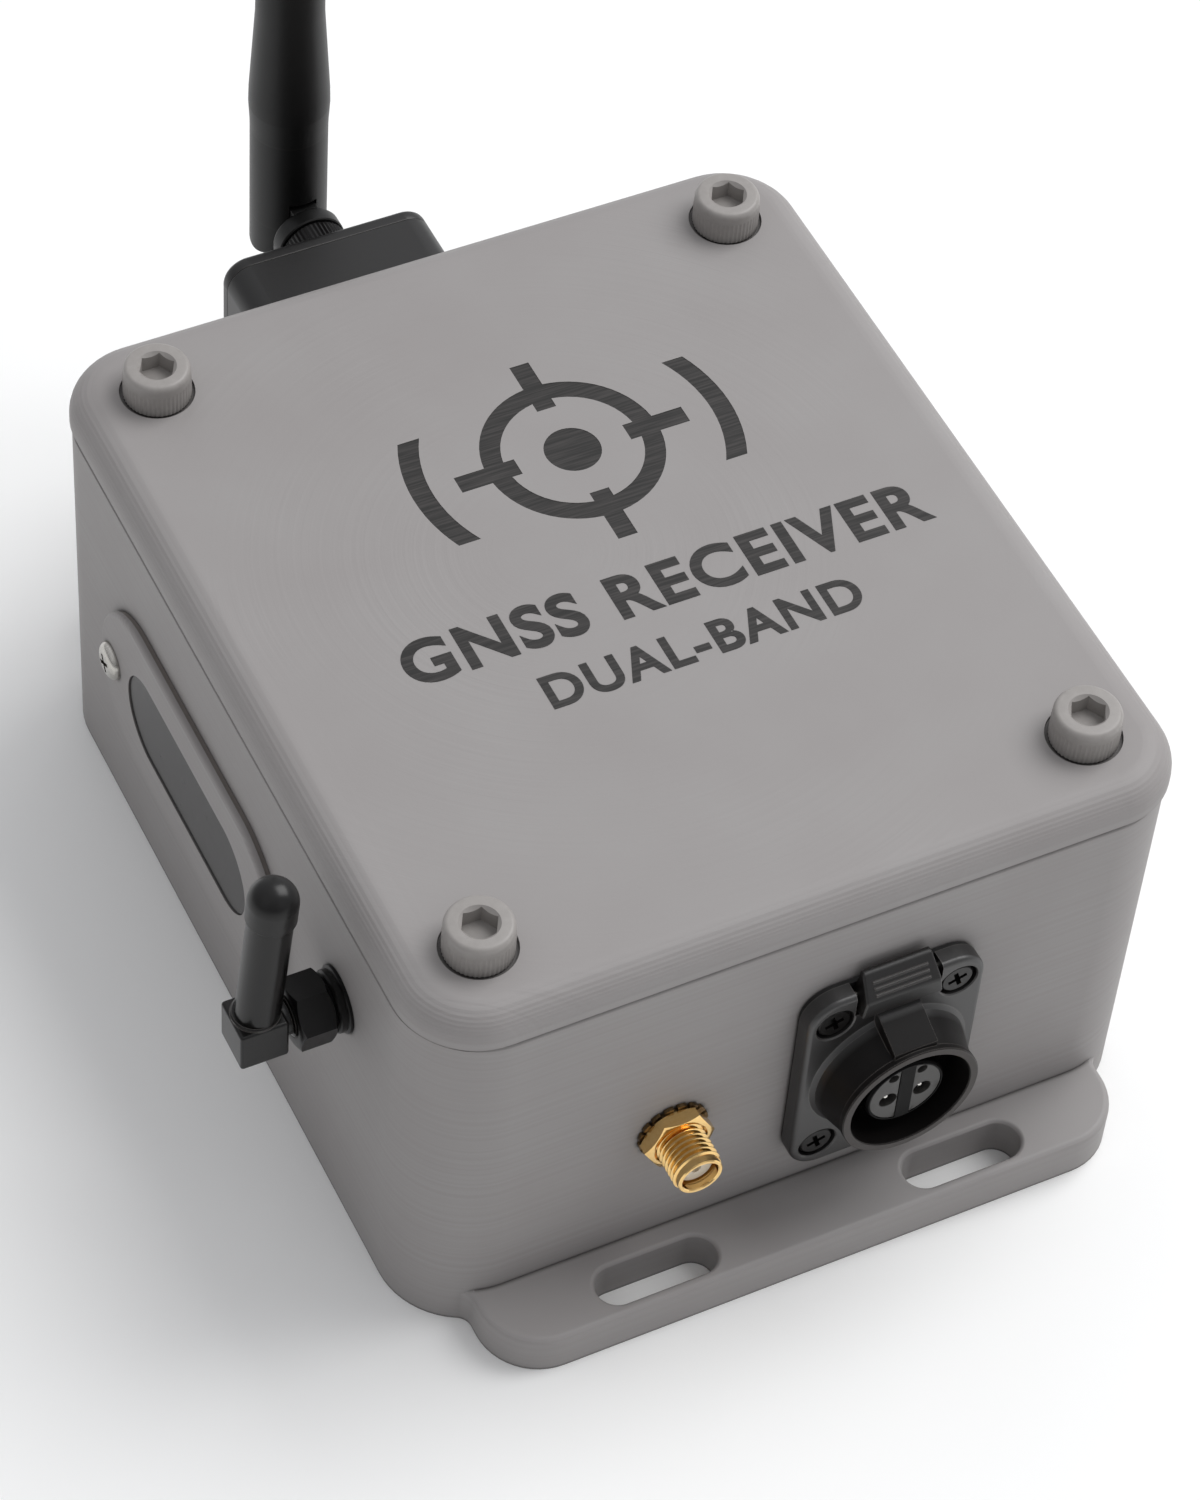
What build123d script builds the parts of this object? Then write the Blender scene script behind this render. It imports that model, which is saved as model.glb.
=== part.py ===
from build123d import *
import math
import os

# GNSS receiver in a printed box: +Z up, -Y is the connector face, -X is the window face.
# The origin is the middle of the underside of the box. All sizes are in millimetres.

# Enclosure
case_width = 100.0
case_depth = 115.0
case_height = 60.0
lid_height = 5.3
wall = 3.0
floor_thickness = 3.0
base_corner = 11.0
lid_corner = 10.0
lid_edge = 4.0
seam_chamfer = 0.35
lid_plate = 3.0
lip_depth = 2.5
lip_thickness = 1.5
lip_clearance = 0.2
groove_inset = 0.9
groove_width = 1.2
groove_depth = 1.0
gasket_clearance = 0.05

# Mounting tabs and their slots
tab_width = 86.0
tab_reach = 10.0
tab_thickness = 6.0
tab_corner = 8.0
tab_flare = 2.0
tab_edge = 0.9
slot_edge = 0.6
slot_spacing = 42.0
slot_length = 16.0
slot_width = 5.5
slot_out = 5.6

# Lid screws, M5 socket heads, and their brass inserts
screw_inset = 10.7
screw_radius = 2.5
screw_head_radius = 4.25
screw_head_height = 5.0
screw_length = 12.0
screw_hex = 4.0
screw_hex_depth = 2.5
screw_clearance = 0.25
seat_depth = 0.5
insert_radius = 3.5
insert_length = 9.0
fit_gap = 0.05
pillar_reach = 5.5

# Inlaid emblem on the lid
emblem_x = 3.7
emblem_y = 18.0
emblem_depth = 0.4
emblem_sink = 0.05
ring_outer = 11.5
ring_stroke = 2.6
tick_inner = 7.4
tick_outer = 15.5
dot_radius = 3.6
wave_outer = 21.5
wave_stroke = 2.6
wave_height = 18.0

# Coaxial screw jacks, 1/4-36 thread
jack_thread = 3.175
jack_reach = 7.7
jack_lip = 2.9
jack_lip_length = 0.8
jack_relief = 0.7
jack_mouth = 2.35
jack_mouth_depth = 2.6
jack_bore = 2.05
jack_contact = 0.64
jack_hex = 8.0
jack_flange = 2.0
jack_tail = 2.6
jack_tail_length = 3.5
jack_hole_clearance = 0.125
nut_thickness = 2.0
washer_radius = 4.9
washer_thickness = 0.5
washer_teeth = 16

# Antenna jack on the connector face
gnss_x = -17.7
gnss_z = 26.3

# Power and data connector
power_x = 9.4
power_z = 28.2
flange_width = 23.6
flange_height = 32.0
flange_corner = 4.2
flange_face = 3.0
seal_thickness = 0.6
barrel_base = 10.0
barrel_front = 9.1
barrel_reach = 9.0
socket_bore = 8.0
shell_tail = 9.5
shell_tail_length = 12.0
rib_width = 5.8
rib_base = 12.0
rib_front = 9.6
flange_hole_x = 16.4
flange_hole_z = 23.8
flange_screw = 1.25
flange_head = 2.2
flange_head_height = 1.3
flange_seat = 1.6
flange_screw_length = 8.0
carrier_radius = 4.75
carrier_gap = 1.3
carrier_length = 3.5
carrier_recess = 1.4
pillar_radius = 5.2
contact_x = 2.3
contact_z = -0.5
signal_x = 1.9
signal_z = 3.5
contact_radius = 0.85
signal_radius = 0.45
contact_gap = 0.25
contact_recess = 1.0
contact_tail = 2.0

# Latch lever of the power connector: a tab on a pin, with a toothed arm inside the barrel's rib
latch_pivot_out = 1.5
latch_pivot_up = 14.6
latch_pin = 0.4
latch_pin_half = 6.9
latch_stem = 3.2
latch_stem_thickness = 0.8
latch_slot = 5.0
latch_tab_width = 10.8
latch_tab_crown = 9.2
latch_tab_low = 12.7
latch_tab_high = 18.2
latch_tab_back = 0.8
latch_tab_top = 1.0
latch_tab_lip = 4.1
latch_tab_brow = 15.4
latch_gap = 0.3
latch_arm_reach = 5.3
latch_arm_low = 8.3
latch_tooth = 0.7

# Window on the left side
window_y = 9.5
window_z = 29.3
bezel_length = 55.0
bezel_height = 24.8
bezel_thickness = 0.9
bezel_seal = 0.6
window_length = 36.8
window_height = 13.5
lens_overlap = 1.5
lens_thickness = 1.2
lens_recess = 0.2
lens_clearance = 0.2
bezel_screw_pitch = 47.2
bezel_screw = 1.45
bezel_screw_length = 6.5
bezel_head = 2.55
bezel_head_height = 1.2
bezel_boss = 3.2
bezel_boss_length = 4.0
status_length = 34.0
status_height = 24.0
status_board = 1.2
status_post = 3.0

# Stub antenna on the left side
stub_y = -33.2
stub_z = 39.2
stub_ring_radius = 4.3
stub_ring = 1.5
stub_reach = 4.2
stub_nut_start = 1.9
stub_nut_length = 4.5
stub_nut_wall = 1.2
stub_neck = 2.5
stub_block = 6.1
stub_neck_length = 1.2
sleeve_radius = 2.75
sleeve_lean = 5.4
sleeve_length = 19.0
cap_radius = 3.05
cap_skirt = 2.8
cap_overlap = 2.0

# Radio module on the rear face and its whip antenna
radio_x = -6.7
radio_z = 42.0
radio_width = 28.4
radio_height = 24.0
radio_depth = 12.5
radio_wall = 2.0
radio_corner = 3.4
radio_cover = 2.0
radio_post = 2.4
radio_screw = 1.0
radio_screw_head = 1.9
whip_x = -5.4
whip_z = 45.5
whip_nut_radius = 4.5
whip_reach = 4.3
whip_ring = 1.5
whip_nut_start = 1.8
whip_nut_length = 4.2
whip_nut_wall = 1.2
collar_radius = 4.7
collar_length = 2.5
tongue_thickness = 3.6
tongue_radius = 4.4
knuckle_gap = 0.1
whip_end_gap = 0.3
whip_radius = 5.1
whip_slot_gap = 0.15
whip_pin = 1.0
whip_step_up = 19.0
whip_step_radius = 5.3
whip_taper_up = 34.5
whip_taper_radius = 4.45
whip_tip_up = 101.5
whip_tip_radius = 3.8

# Boards and what is on them
board_length = 84.0
board_depth = 78.0
board_thickness = 1.6
board_post = 3.5
board_lift = 6.0
board_screw = 1.45
board_screw_head = 2.75
board_hole_x = 37.0
board_hole_y = 34.0

lid_bottom = case_height - lid_height
front_wall = -case_depth / 2
rear_wall = case_depth / 2
left_wall = -case_width / 2
board_top = floor_thickness + board_lift + board_thickness
whip_collar_start = whip_nut_start + whip_nut_length + knuckle_gap
whip_axis_out = whip_collar_start + collar_length + whip_end_gap + whip_radius
corners = [(sx * (case_width / 2 - screw_inset), sy * (case_depth / 2 - screw_inset))
           for sx in (-1, 1) for sy in (-1, 1)]


def block(low, high):
    """A block between two opposite corners."""
    size = [b - a for a, b in zip(low, high)]
    middle = [(a + b) / 2 for a, b in zip(low, high)]
    return Pos(*middle) * Box(*size)


def front(x, z, out=0.0):
    """A plane on the connector face that looks outwards, with local y up."""
    return Plane(origin=(x, front_wall - out, z), x_dir=(1, 0, 0), z_dir=(0, -1, 0))


def left(y, z, out=0.0):
    """A plane on the window face that looks outwards, with local y up."""
    return Plane(origin=(left_wall - out, y, z), x_dir=(0, -1, 0), z_dir=(-1, 0, 0))


def rear(x, z, out=0.0):
    """A plane on the rear face that looks outwards, with local y up."""
    return Plane(origin=(x, rear_wall + out, z), x_dir=(-1, 0, 0), z_dir=(0, 1, 0))


def raised(plane, outline, start, end):
    """An outline on the plane, extruded from one height above it to another."""
    return extrude(plane.offset(start) * outline, amount=end - start)


def disc(plane, radius, start, end):
    return raised(plane, Circle(radius), start, end)


def hexagon(across):
    return RegularPolygon(across / 2, 6, major_radius=False)


def at_each(places, outline):
    return Sketch() + [Pos(x, y) * outline for x, y in places]


def save(node, shape):
    export_step(shape, f"parts/{node}.step")


# ---- enclosure ----

def pillar_blocks(grow=0.0, low=0.0, high=lid_bottom):
    """The corner pillars that the lid screws go into, wider by grow on their free sides."""
    blocks = Part()
    for x, y in corners:
        reach = pillar_reach + grow
        inner_x = abs(x) - reach
        inner_y = abs(y) - reach
        pillar = block((inner_x, inner_y, low), (case_width / 2, case_depth / 2, high))
        edge = pillar.edges().filter_by(Axis.Z).sort_by_distance((inner_x, inner_y, (low + high) / 2))[0]
        pillar = fillet(edge, reach)
        if x < 0:
            pillar = mirror(pillar, Plane.YZ)
        if y < 0:
            pillar = mirror(pillar, Plane.XZ)
        blocks += pillar
    return blocks


def base_outline(inset=0.0):
    return RectangleRounded(case_width - 2 * inset, case_depth - 2 * inset, base_corner - inset)


def slot_places():
    out = case_depth / 2 + slot_out
    return [(sx * slot_spacing / 2, sy * out) for sx in (-1, 1) for sy in (-1, 1)]


def tab_plate():
    """The plate that carries the tabs: flared into the walls, its top edges and slots softened."""
    tabs = RectangleRounded(tab_width, case_depth + 2 * tab_reach, tab_corner)
    outline = tabs + base_outline()
    corners_in = outline.vertices().filter_by(
        lambda v: abs(abs(v.X) - tab_width / 2) < 0.01 and abs(v.Y) < case_depth / 2)
    outline = fillet(corners_in, tab_flare)
    plate = extrude(outline, tab_thickness)
    plate = fillet(plate.edges().group_by(Axis.Z)[-1], tab_edge)
    slots = at_each(slot_places(), SlotOverall(slot_length, slot_width))
    plate -= extrude(slots, tab_thickness)
    rims = plate.edges().group_by(Axis.Z)[-1].filter_by(lambda e: abs(e.center().Y) > case_depth / 2 + 2)
    return fillet(rims, slot_edge)


def base_shell():
    """Walls, floor and tabs."""
    body = tab_plate() + extrude(base_outline(), lid_bottom)
    body = chamfer(body.edges().group_by(Axis.Z)[-1], seam_chamfer)
    inside = extrude(base_outline(wall), lid_bottom)
    return body - Pos(0, 0, floor_thickness) * inside


def board_places():
    return [(sx * board_hole_x, sy * board_hole_y) for sx in (-1, 1) for sy in (-1, 1)]


def flange_holes():
    return [(sx * flange_hole_x / 2, sy * flange_hole_z / 2) for sx in (-1, 1) for sy in (-1, 1)]


def bezel_holes():
    return [(-bezel_screw_pitch / 2, 0), (bezel_screw_pitch / 2, 0)]


def status_holes():
    return [(sx * (status_length / 2 - 3), sy * (status_height / 2 - 3)) for sx in (-1, 1) for sy in (-1, 1)]


def radio_holes():
    inset = radio_wall + radio_post - 0.6
    return [(sx * (radio_width / 2 - inset), sy * (radio_height / 2 - inset))
            for sx in (-1, 1) for sy in (-1, 1)]


def base_housing():
    body = base_shell()
    body += pillar_blocks(low=0) & extrude(base_outline(0.5), lid_bottom)
    body += Pos(0, 0, floor_thickness) * extrude(at_each(board_places(), Circle(board_post)), board_lift)
    window_face = left(window_y, window_z)
    body += raised(window_face, at_each(bezel_holes(), Circle(bezel_boss)), -wall - bezel_boss_length, -wall)
    body += raised(window_face, at_each(status_holes(), Circle(2.2)), -wall - status_post, -wall)

    groove = base_outline(groove_inset) - base_outline(groove_inset + groove_width)
    body -= Pos(0, 0, lid_bottom - groove_depth) * extrude(groove, groove_depth)
    body -= Pos(0, 0, lid_bottom - insert_length) * extrude(
        at_each(corners, Circle(insert_radius + 0.02)), insert_length)
    screw_holes = at_each(corners, Circle(screw_radius + 0.3))
    body -= Pos(0, 0, lid_bottom - insert_length - 4) * extrude(screw_holes, 4)
    post_holes = at_each(board_places(), Circle(board_screw + fit_gap))
    body -= Pos(0, 0, floor_thickness + 1) * extrude(post_holes, board_lift)

    jack_hole = jack_thread + jack_hole_clearance
    body -= disc(front(gnss_x, gnss_z), jack_hole, -wall, 0)
    body -= disc(left(stub_y, stub_z), jack_hole, -wall, 0)
    power_face = front(power_x, power_z)
    body -= disc(power_face, shell_tail + 0.2, -wall, 0)
    body -= raised(power_face, at_each(flange_holes(), Circle(flange_screw + fit_gap)), -wall, 0)
    lens_hole = SlotOverall(window_length + 2 * lens_overlap + lens_clearance,
                            window_height + 2 * lens_overlap + lens_clearance)
    body -= raised(window_face, lens_hole, -lens_thickness, 0)
    body -= raised(window_face, SlotOverall(window_length - 1, window_height - 1), -wall, 0)
    boss_holes = at_each(bezel_holes(), Circle(bezel_screw + fit_gap))
    body -= raised(window_face, boss_holes, -wall - bezel_boss_length + 0.8, 0)
    body -= raised(window_face, at_each(status_holes(), Circle(0.85)), -wall - status_post, -wall)
    radio_face = rear(radio_x, radio_z)
    body -= disc(radio_face, 3.0, -wall, 0)
    body -= raised(radio_face, at_each(radio_holes(), Circle(radio_screw + fit_gap)), -wall, 0)
    return body


def emblem_outline():
    """A position target: ring, centre dot and four ticks between two radio waves."""
    target = Circle(ring_outer) - Circle(ring_outer - ring_stroke)
    length = tick_outer - tick_inner
    for turn in range(4):
        target += Rot(0, 0, 90 * turn) * Pos(tick_inner + length / 2, 0) * Rectangle(length, ring_stroke)
    waves = (Circle(wave_outer) - Circle(wave_outer - wave_stroke)) & Rectangle(3 * wave_outer, wave_height)
    return Pos(emblem_x, emblem_y) * (target + Circle(dot_radius) + waves)


def lid():
    outline = RectangleRounded(case_width, case_depth, lid_corner)
    body = Pos(0, 0, lid_bottom) * extrude(outline, lid_height)
    body = fillet(body.edges().group_by(Axis.Z)[-1], lid_edge)
    body = chamfer(body.edges().group_by(Axis.Z)[0], seam_chamfer)
    hollow = base_outline(wall + lip_thickness + lip_clearance)
    pocket = Pos(0, 0, lid_bottom) * extrude(hollow, lid_height - lid_plate)
    body -= pocket - pillar_blocks(grow=0.3, low=0, high=case_height)
    lip = base_outline(wall + lip_clearance) - hollow
    lip = Pos(0, 0, lid_bottom - lip_depth) * extrude(lip, lip_depth)
    body += lip - pillar_blocks(grow=0.3)
    screw_holes = at_each(corners, Circle(screw_radius + screw_clearance))
    body -= Pos(0, 0, lid_bottom) * extrude(screw_holes, lid_height)
    seat = Circle(screw_head_radius + 0.45)
    body -= Pos(0, 0, case_height - seat_depth) * extrude(at_each(corners, seat), seat_depth)
    return body - Pos(0, 0, case_height - emblem_depth) * extrude(emblem_outline(), emblem_depth)


def lid_emblem():
    return Pos(0, 0, case_height - emblem_depth) * extrude(emblem_outline(), emblem_depth - emblem_sink)


def lid_gasket():
    ring = base_outline(groove_inset + gasket_clearance)
    ring -= base_outline(groove_inset + groove_width - gasket_clearance)
    return Pos(0, 0, lid_bottom - groove_depth) * extrude(ring, groove_depth)


def lid_screws():
    seat = case_height - seat_depth
    head = Pos(0, 0, seat) * extrude(Circle(screw_head_radius), screw_head_height)
    head = fillet(head.edges().group_by(Axis.Z)[-1], 0.6)
    socket_floor = seat + screw_head_height - screw_hex_depth
    head -= Pos(0, 0, socket_floor) * extrude(hexagon(screw_hex), screw_hex_depth)
    screw = head + Pos(0, 0, seat - screw_length) * extrude(Circle(screw_radius), screw_length)
    return Part() + [Pos(x, y) * screw for x, y in corners]


def lid_inserts():
    ring = Circle(insert_radius) - Circle(screw_radius + fit_gap)
    insert = Pos(0, 0, lid_bottom - insert_length) * extrude(ring, insert_length)
    return Part() + [Pos(x, y) * insert for x, y in corners]


# ---- screw jacks ----

def jack_body(plane, panel, seat, reach, tail):
    """A bulkhead jack: hex flange inside the panel, thread with a relief beyond its nut, lip at the mouth."""
    body = disc(plane, jack_thread, -panel, reach - jack_lip_length)
    thread_start = seat + jack_relief
    body -= disc(plane, jack_thread, seat, thread_start) - disc(plane, jack_lip, seat, thread_start)
    body += disc(plane, jack_lip, reach - jack_lip_length, reach)
    body += raised(plane, hexagon(jack_hex), -panel - jack_flange, -panel)
    body += disc(plane, jack_tail, -panel - jack_flange - tail, -panel - jack_flange)
    body -= disc(plane, jack_bore, -panel - jack_flange - tail, reach)
    return body - disc(plane, jack_mouth, reach - jack_mouth_depth, reach)


def jack_insulator(plane, panel, seat, reach, tail):
    ring = Circle(jack_bore) - Circle(jack_contact)
    return raised(plane, ring, -panel - jack_flange - tail, reach - jack_mouth_depth)


def jack_centre(plane, panel, seat, reach, tail):
    pin = disc(plane, jack_contact, -panel - jack_flange - tail, reach - jack_mouth_depth)
    return pin - disc(plane, jack_contact / 2, reach - jack_mouth_depth - 1.5, reach - jack_mouth_depth)


def jack_nut(plane, start, thickness):
    nut = raised(plane, hexagon(jack_hex), start, start + thickness)
    nut &= disc(plane, jack_hex / 2 * 1.11, start, start + thickness)
    return nut - disc(plane, jack_thread + fit_gap, start, start + thickness)


def toothed_washer(plane):
    ring = Circle(washer_radius) - Circle(jack_thread + jack_hole_clearance)
    for tooth in range(washer_teeth):
        ring -= Rot(0, 0, 360 / washer_teeth * tooth) * Pos(washer_radius, 0) * Rectangle(1.3, 0.6)
    return raised(plane, ring, 0, washer_thickness)


# ---- power and data connector ----

def power_flange(plane):
    outline = RectangleRounded(flange_width, flange_height, flange_corner)
    flange = raised(plane, outline, seal_thickness, flange_face)
    edges = flange.edges().group_by(Axis.Y)[0]
    flange = fillet(edges, 0.6)
    seats = at_each(flange_holes(), Circle(flange_head + 0.35))
    flange -= raised(plane, seats, flange_face - flange_seat, flange_face)
    return flange - raised(plane, at_each(flange_holes(), Circle(flange_screw + fit_gap)), 0, flange_face)


def side_profile(points, width):
    """A profile of the connector seen from the side, given as (distance out of the wall, height)."""
    plane = Plane(origin=(power_x - width / 2, front_wall, power_z), x_dir=(0, -1, 0), z_dir=(1, 0, 0))
    outline = Polygon(*[(out, -up) for out, up in points], align=None)
    return extrude(plane * outline, amount=width)


def latch_hub(radius, start, end):
    """A round bar on the latch's pin axis, between two distances from the connector's middle."""
    origin = (power_x + start, front_wall - latch_pivot_out, power_z + latch_pivot_up)
    return extrude(Plane(origin=origin, z_dir=(1, 0, 0)) * Circle(radius), amount=end - start)


def power_shell():
    plane = front(power_x, power_z)
    body = power_flange(plane)
    cone = Cone(barrel_base, barrel_front, barrel_reach - flange_face,
                align=(Align.CENTER, Align.CENTER, Align.MIN))
    body += plane.offset(flange_face) * cone
    body += disc(plane, shell_tail, -shell_tail_length, flange_face)
    rib_end = barrel_reach - 0.7
    rib = [(flange_face, 0), (flange_face, rib_base), (rib_end, rib_front), (rib_end, 0)]
    body += side_profile(rib, rib_width)
    body -= disc(plane, socket_bore, -shell_tail_length, barrel_reach)

    floor = latch_tab_low - latch_gap
    top = flange_height / 2
    notch = latch_tab_width + 2 * latch_gap
    body -= side_profile([(0, floor), (0, top), (flange_face, top), (flange_face, floor)], notch)
    skin = flange_face - 0.6
    slot_end = latch_arm_reach + 1.1
    body -= side_profile([(0, 5), (0, top), (skin, top), (skin, rib_base - 1.0), (slot_end, rib_front + 0.25),
                          (slot_end, 5)], latch_slot)
    return body - latch_hub(latch_pin + 0.02, -latch_pin_half - 0.1, latch_pin_half + 0.1)


def power_seal():
    plane = front(power_x, power_z)
    sheet = RectangleRounded(flange_width - 0.6, flange_height - 0.6, flange_corner - 0.3)
    sheet -= Circle(shell_tail + 0.2)
    sheet -= at_each(flange_holes(), Circle(flange_screw + 0.2))
    return raised(plane, sheet, 0, seal_thickness)


def power_screws():
    plane = front(power_x, power_z)
    seat = flange_face - flange_seat
    heads = raised(plane, at_each(flange_holes(), Circle(flange_head)), seat, seat + flange_head_height)
    heads = fillet(heads.edges().group_by(Axis.Y)[0], 0.4)
    cross = Rectangle(2.4, 0.55) + Rectangle(0.55, 2.4)
    heads -= raised(plane, at_each(flange_holes(), cross), seat + 0.4, flange_face)
    shanks = at_each(flange_holes(), Circle(flange_screw))
    return heads + raised(plane, shanks, seat - flange_screw_length, seat)


def half_moons(radius, gap):
    return Circle(radius) - Rectangle(gap, 4 * radius)


def contact_places():
    return [(-contact_x, contact_z), (contact_x, contact_z)]


def signal_places():
    return [(-signal_x, signal_z), (signal_x, signal_z)]


def power_insert():
    """The black insulator: a disc across the shell and a pillar that holds the two carriers."""
    plane = front(power_x, power_z)
    face = barrel_reach - carrier_recess
    body = disc(plane, socket_bore - 0.05, -shell_tail_length + 3, 0)
    body += disc(plane, pillar_radius, 0, face)
    body -= raised(plane, half_moons(carrier_radius + 0.02, carrier_gap - 0.04), face - carrier_length, face)
    body -= raised(plane, at_each(contact_places(), Circle(contact_radius)), -shell_tail_length, face)
    return body - raised(plane, at_each(signal_places(), Circle(signal_radius)), -shell_tail_length, face)


def contact_carriers():
    plane = front(power_x, power_z)
    face = barrel_reach - carrier_recess
    outline = half_moons(carrier_radius, carrier_gap)
    outline -= at_each(contact_places(), Circle(contact_radius + contact_gap))
    outline -= at_each(signal_places(), Circle(signal_radius + contact_gap))
    return raised(plane, outline, face - carrier_length, face)


def power_contacts():
    plane = front(power_x, power_z)
    end = -shell_tail_length + 3 - contact_tail
    tip = barrel_reach - carrier_recess - contact_recess
    pins = Part()
    for places, radius in ((contact_places(), contact_radius), (signal_places(), signal_radius)):
        group = raised(plane, at_each(places, Circle(radius)), end, tip)
        pins += fillet(group.edges().group_by(Axis.Y)[0], 0.6 * radius)
    return pins


def latch_lever():
    """A rocker: pressing its tab to the wall lifts the arm's tooth out of the socket, off the plug."""
    half = latch_tab_width / 2
    crown = latch_tab_crown / 2
    outline = Polygon((-half, latch_tab_low), (half, latch_tab_low), (crown, latch_tab_high),
                      (-crown, latch_tab_high), align=None)
    tab = side_profile([(latch_tab_back, latch_tab_high), (latch_tab_back + latch_tab_top, latch_tab_high),
                        (latch_tab_lip, latch_tab_brow), (latch_tab_lip, latch_tab_low),
                        (latch_tab_back, latch_tab_low)], latch_tab_width)
    tab &= raised(front(power_x, power_z), outline, 0, latch_tab_lip)
    back = latch_pivot_out - latch_stem_thickness / 2
    face = latch_pivot_out + latch_stem_thickness / 2
    arm_top = latch_arm_low + latch_stem_thickness
    arm = side_profile([(back, latch_arm_low), (back, latch_tab_low + 0.5), (face, latch_tab_low + 0.5),
                        (face, arm_top), (latch_arm_reach, arm_top - 0.1),
                        (latch_arm_reach, latch_arm_low - latch_tooth),
                        (latch_arm_reach - 0.9, latch_arm_low)], latch_stem)
    tab -= latch_hub(1.15, latch_stem / 2, half - 1.0)
    return tab + arm - latch_hub(latch_pin + fit_gap, -half, half)


def latch_pin_part():
    return latch_hub(latch_pin, -latch_pin_half, latch_pin_half)


def latch_spring():
    """A torsion spring on the pin, in the tab's pocket beside the stem."""
    start = latch_stem / 2 + 0.1
    end = latch_tab_width / 2 - 1.1
    return latch_hub(0.8, start, end) - latch_hub(latch_pin + 0.1, start, end)


# ---- window ----

def window_bezel():
    plane = left(window_y, window_z)
    plate = raised(plane, SlotOverall(bezel_length, bezel_height), bezel_seal, bezel_seal + bezel_thickness)
    plate = fillet(plate.edges().group_by(Axis.X)[0], 0.6)
    opening = SlotOverall(window_length, window_height)
    plate -= raised(plane, opening, bezel_seal, bezel_seal + bezel_thickness)
    holes = at_each(bezel_holes(), Circle(bezel_screw + 0.15))
    return plate - raised(plane, holes, bezel_seal, bezel_seal + bezel_thickness)


def window_seal():
    plane = left(window_y, window_z)
    sheet = SlotOverall(bezel_length - 0.5, bezel_height - 0.5)
    sheet -= SlotOverall(window_length + 0.4, window_height + 0.4)
    sheet -= at_each(bezel_holes(), Circle(bezel_screw + 0.15))
    return raised(plane, sheet, 0, bezel_seal)


def window_lens():
    plane = left(window_y, window_z)
    outline = SlotOverall(window_length + 2 * lens_overlap, window_height + 2 * lens_overlap)
    step = SlotOverall(window_length - lens_clearance, window_height - lens_clearance)
    return (raised(plane, outline, -lens_thickness, 0)
            + raised(plane, step, 0, bezel_seal + bezel_thickness - lens_recess))


def window_screws():
    plane = left(window_y, window_z)
    seat = bezel_seal + bezel_thickness
    heads = raised(plane, at_each(bezel_holes(), Circle(bezel_head)), seat, seat + bezel_head_height)
    heads = fillet(heads.edges().group_by(Axis.X)[0], 0.8)
    cross = Rectangle(2.6, 0.6) + Rectangle(0.6, 2.6)
    heads -= raised(plane, at_each(bezel_holes(), cross), seat + 0.3, seat + bezel_head_height)
    return heads + raised(plane, at_each(bezel_holes(), Circle(bezel_screw)), seat - bezel_screw_length, seat)


def status_board_part():
    plane = left(window_y, window_z)
    start = -wall - status_post
    sheet = RectangleRounded(status_length, status_height, 1.5)
    sheet -= at_each(status_holes(), Circle(1.15))
    return raised(plane, sheet, start - status_board, start)


def status_leds():
    plane = left(window_y, window_z)
    start = -wall - status_post
    places = [(spot, 0) for spot in (-12.0, -4.0, 4.0, 12.0)]
    return raised(plane, at_each(places, Rectangle(2.0, 1.6)), start, start + 0.9)


def status_screws():
    plane = left(window_y, window_z)
    seat = -wall - status_post - status_board
    heads = raised(plane, at_each(status_holes(), Circle(1.9)), seat - 1.3, seat)
    return heads + raised(plane, at_each(status_holes(), Circle(0.8)), seat, seat + 3.6)


# ---- stub antenna ----

def stub_elbow():
    """Neck held in the coupling nut and the square block that turns the stub upwards."""
    plane = left(stub_y, stub_z)
    nut_end = stub_nut_start + stub_nut_length
    shoulder = nut_end - stub_nut_wall
    body = disc(plane, stub_neck, shoulder - 0.7, nut_end + stub_neck_length + 0.5)
    body += disc(plane, jack_thread - 0.15, shoulder - 0.7, shoulder - 0.05)
    start = nut_end + stub_neck_length
    cube = raised(plane, Rectangle(stub_block, stub_block), start, start + stub_block)
    cube = fillet(cube.edges(), 0.45)
    body += cube
    socket = stub_axis(stub_block / 2 - 2.0)
    return body - extrude(socket * Circle(sleeve_radius + 0.02), amount=4)


def stub_axis(up):
    """A plane across the leaning sleeve, that far above the jack's axis."""
    out = stub_nut_start + stub_nut_length + stub_neck_length + stub_block / 2
    lean = math.radians(sleeve_lean)
    direction = (math.sin(lean), 0, math.cos(lean))
    origin = (left_wall - out + up * math.tan(lean), stub_y, stub_z + up)
    return Plane(origin=origin, x_dir=(0, -1, 0), z_dir=direction)


def stub_sleeve():
    plane = stub_axis(stub_block / 2 - 2.0)
    return disc(plane, sleeve_radius, 0, sleeve_length + 2.0) - disc(plane, 1.3, 0.8, sleeve_length + 1.0)


def stub_radiator():
    plane = stub_axis(stub_block / 2 - 2.0)
    return disc(plane, 1.2, 0.8, sleeve_length + 0.9)


def stub_cap():
    plane = stub_axis(stub_block / 2 - 2.0)
    top = sleeve_length + 2.0
    body = disc(plane, cap_radius, top - cap_overlap, top + cap_skirt - cap_overlap)
    body += plane.offset(top + cap_skirt - cap_overlap) * Sphere(cap_radius)
    return body - disc(plane, sleeve_radius + 0.02, top - cap_overlap - cap_radius, top)


def coupling_nut(plane, start, length, end_wall, neck, hexed):
    """A coupling nut: threaded bore, closed by a wall that a neck turns in."""
    outline = hexagon(jack_hex) if hexed else Circle(whip_nut_radius)
    nut = raised(plane, outline, start, start + length)
    if hexed:
        nut &= disc(plane, jack_hex / 2 * 1.1, start, start + length)
    nut -= disc(plane, jack_thread + fit_gap, start, start + length - end_wall)
    return nut - disc(plane, neck + fit_gap, start, start + length)


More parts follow.
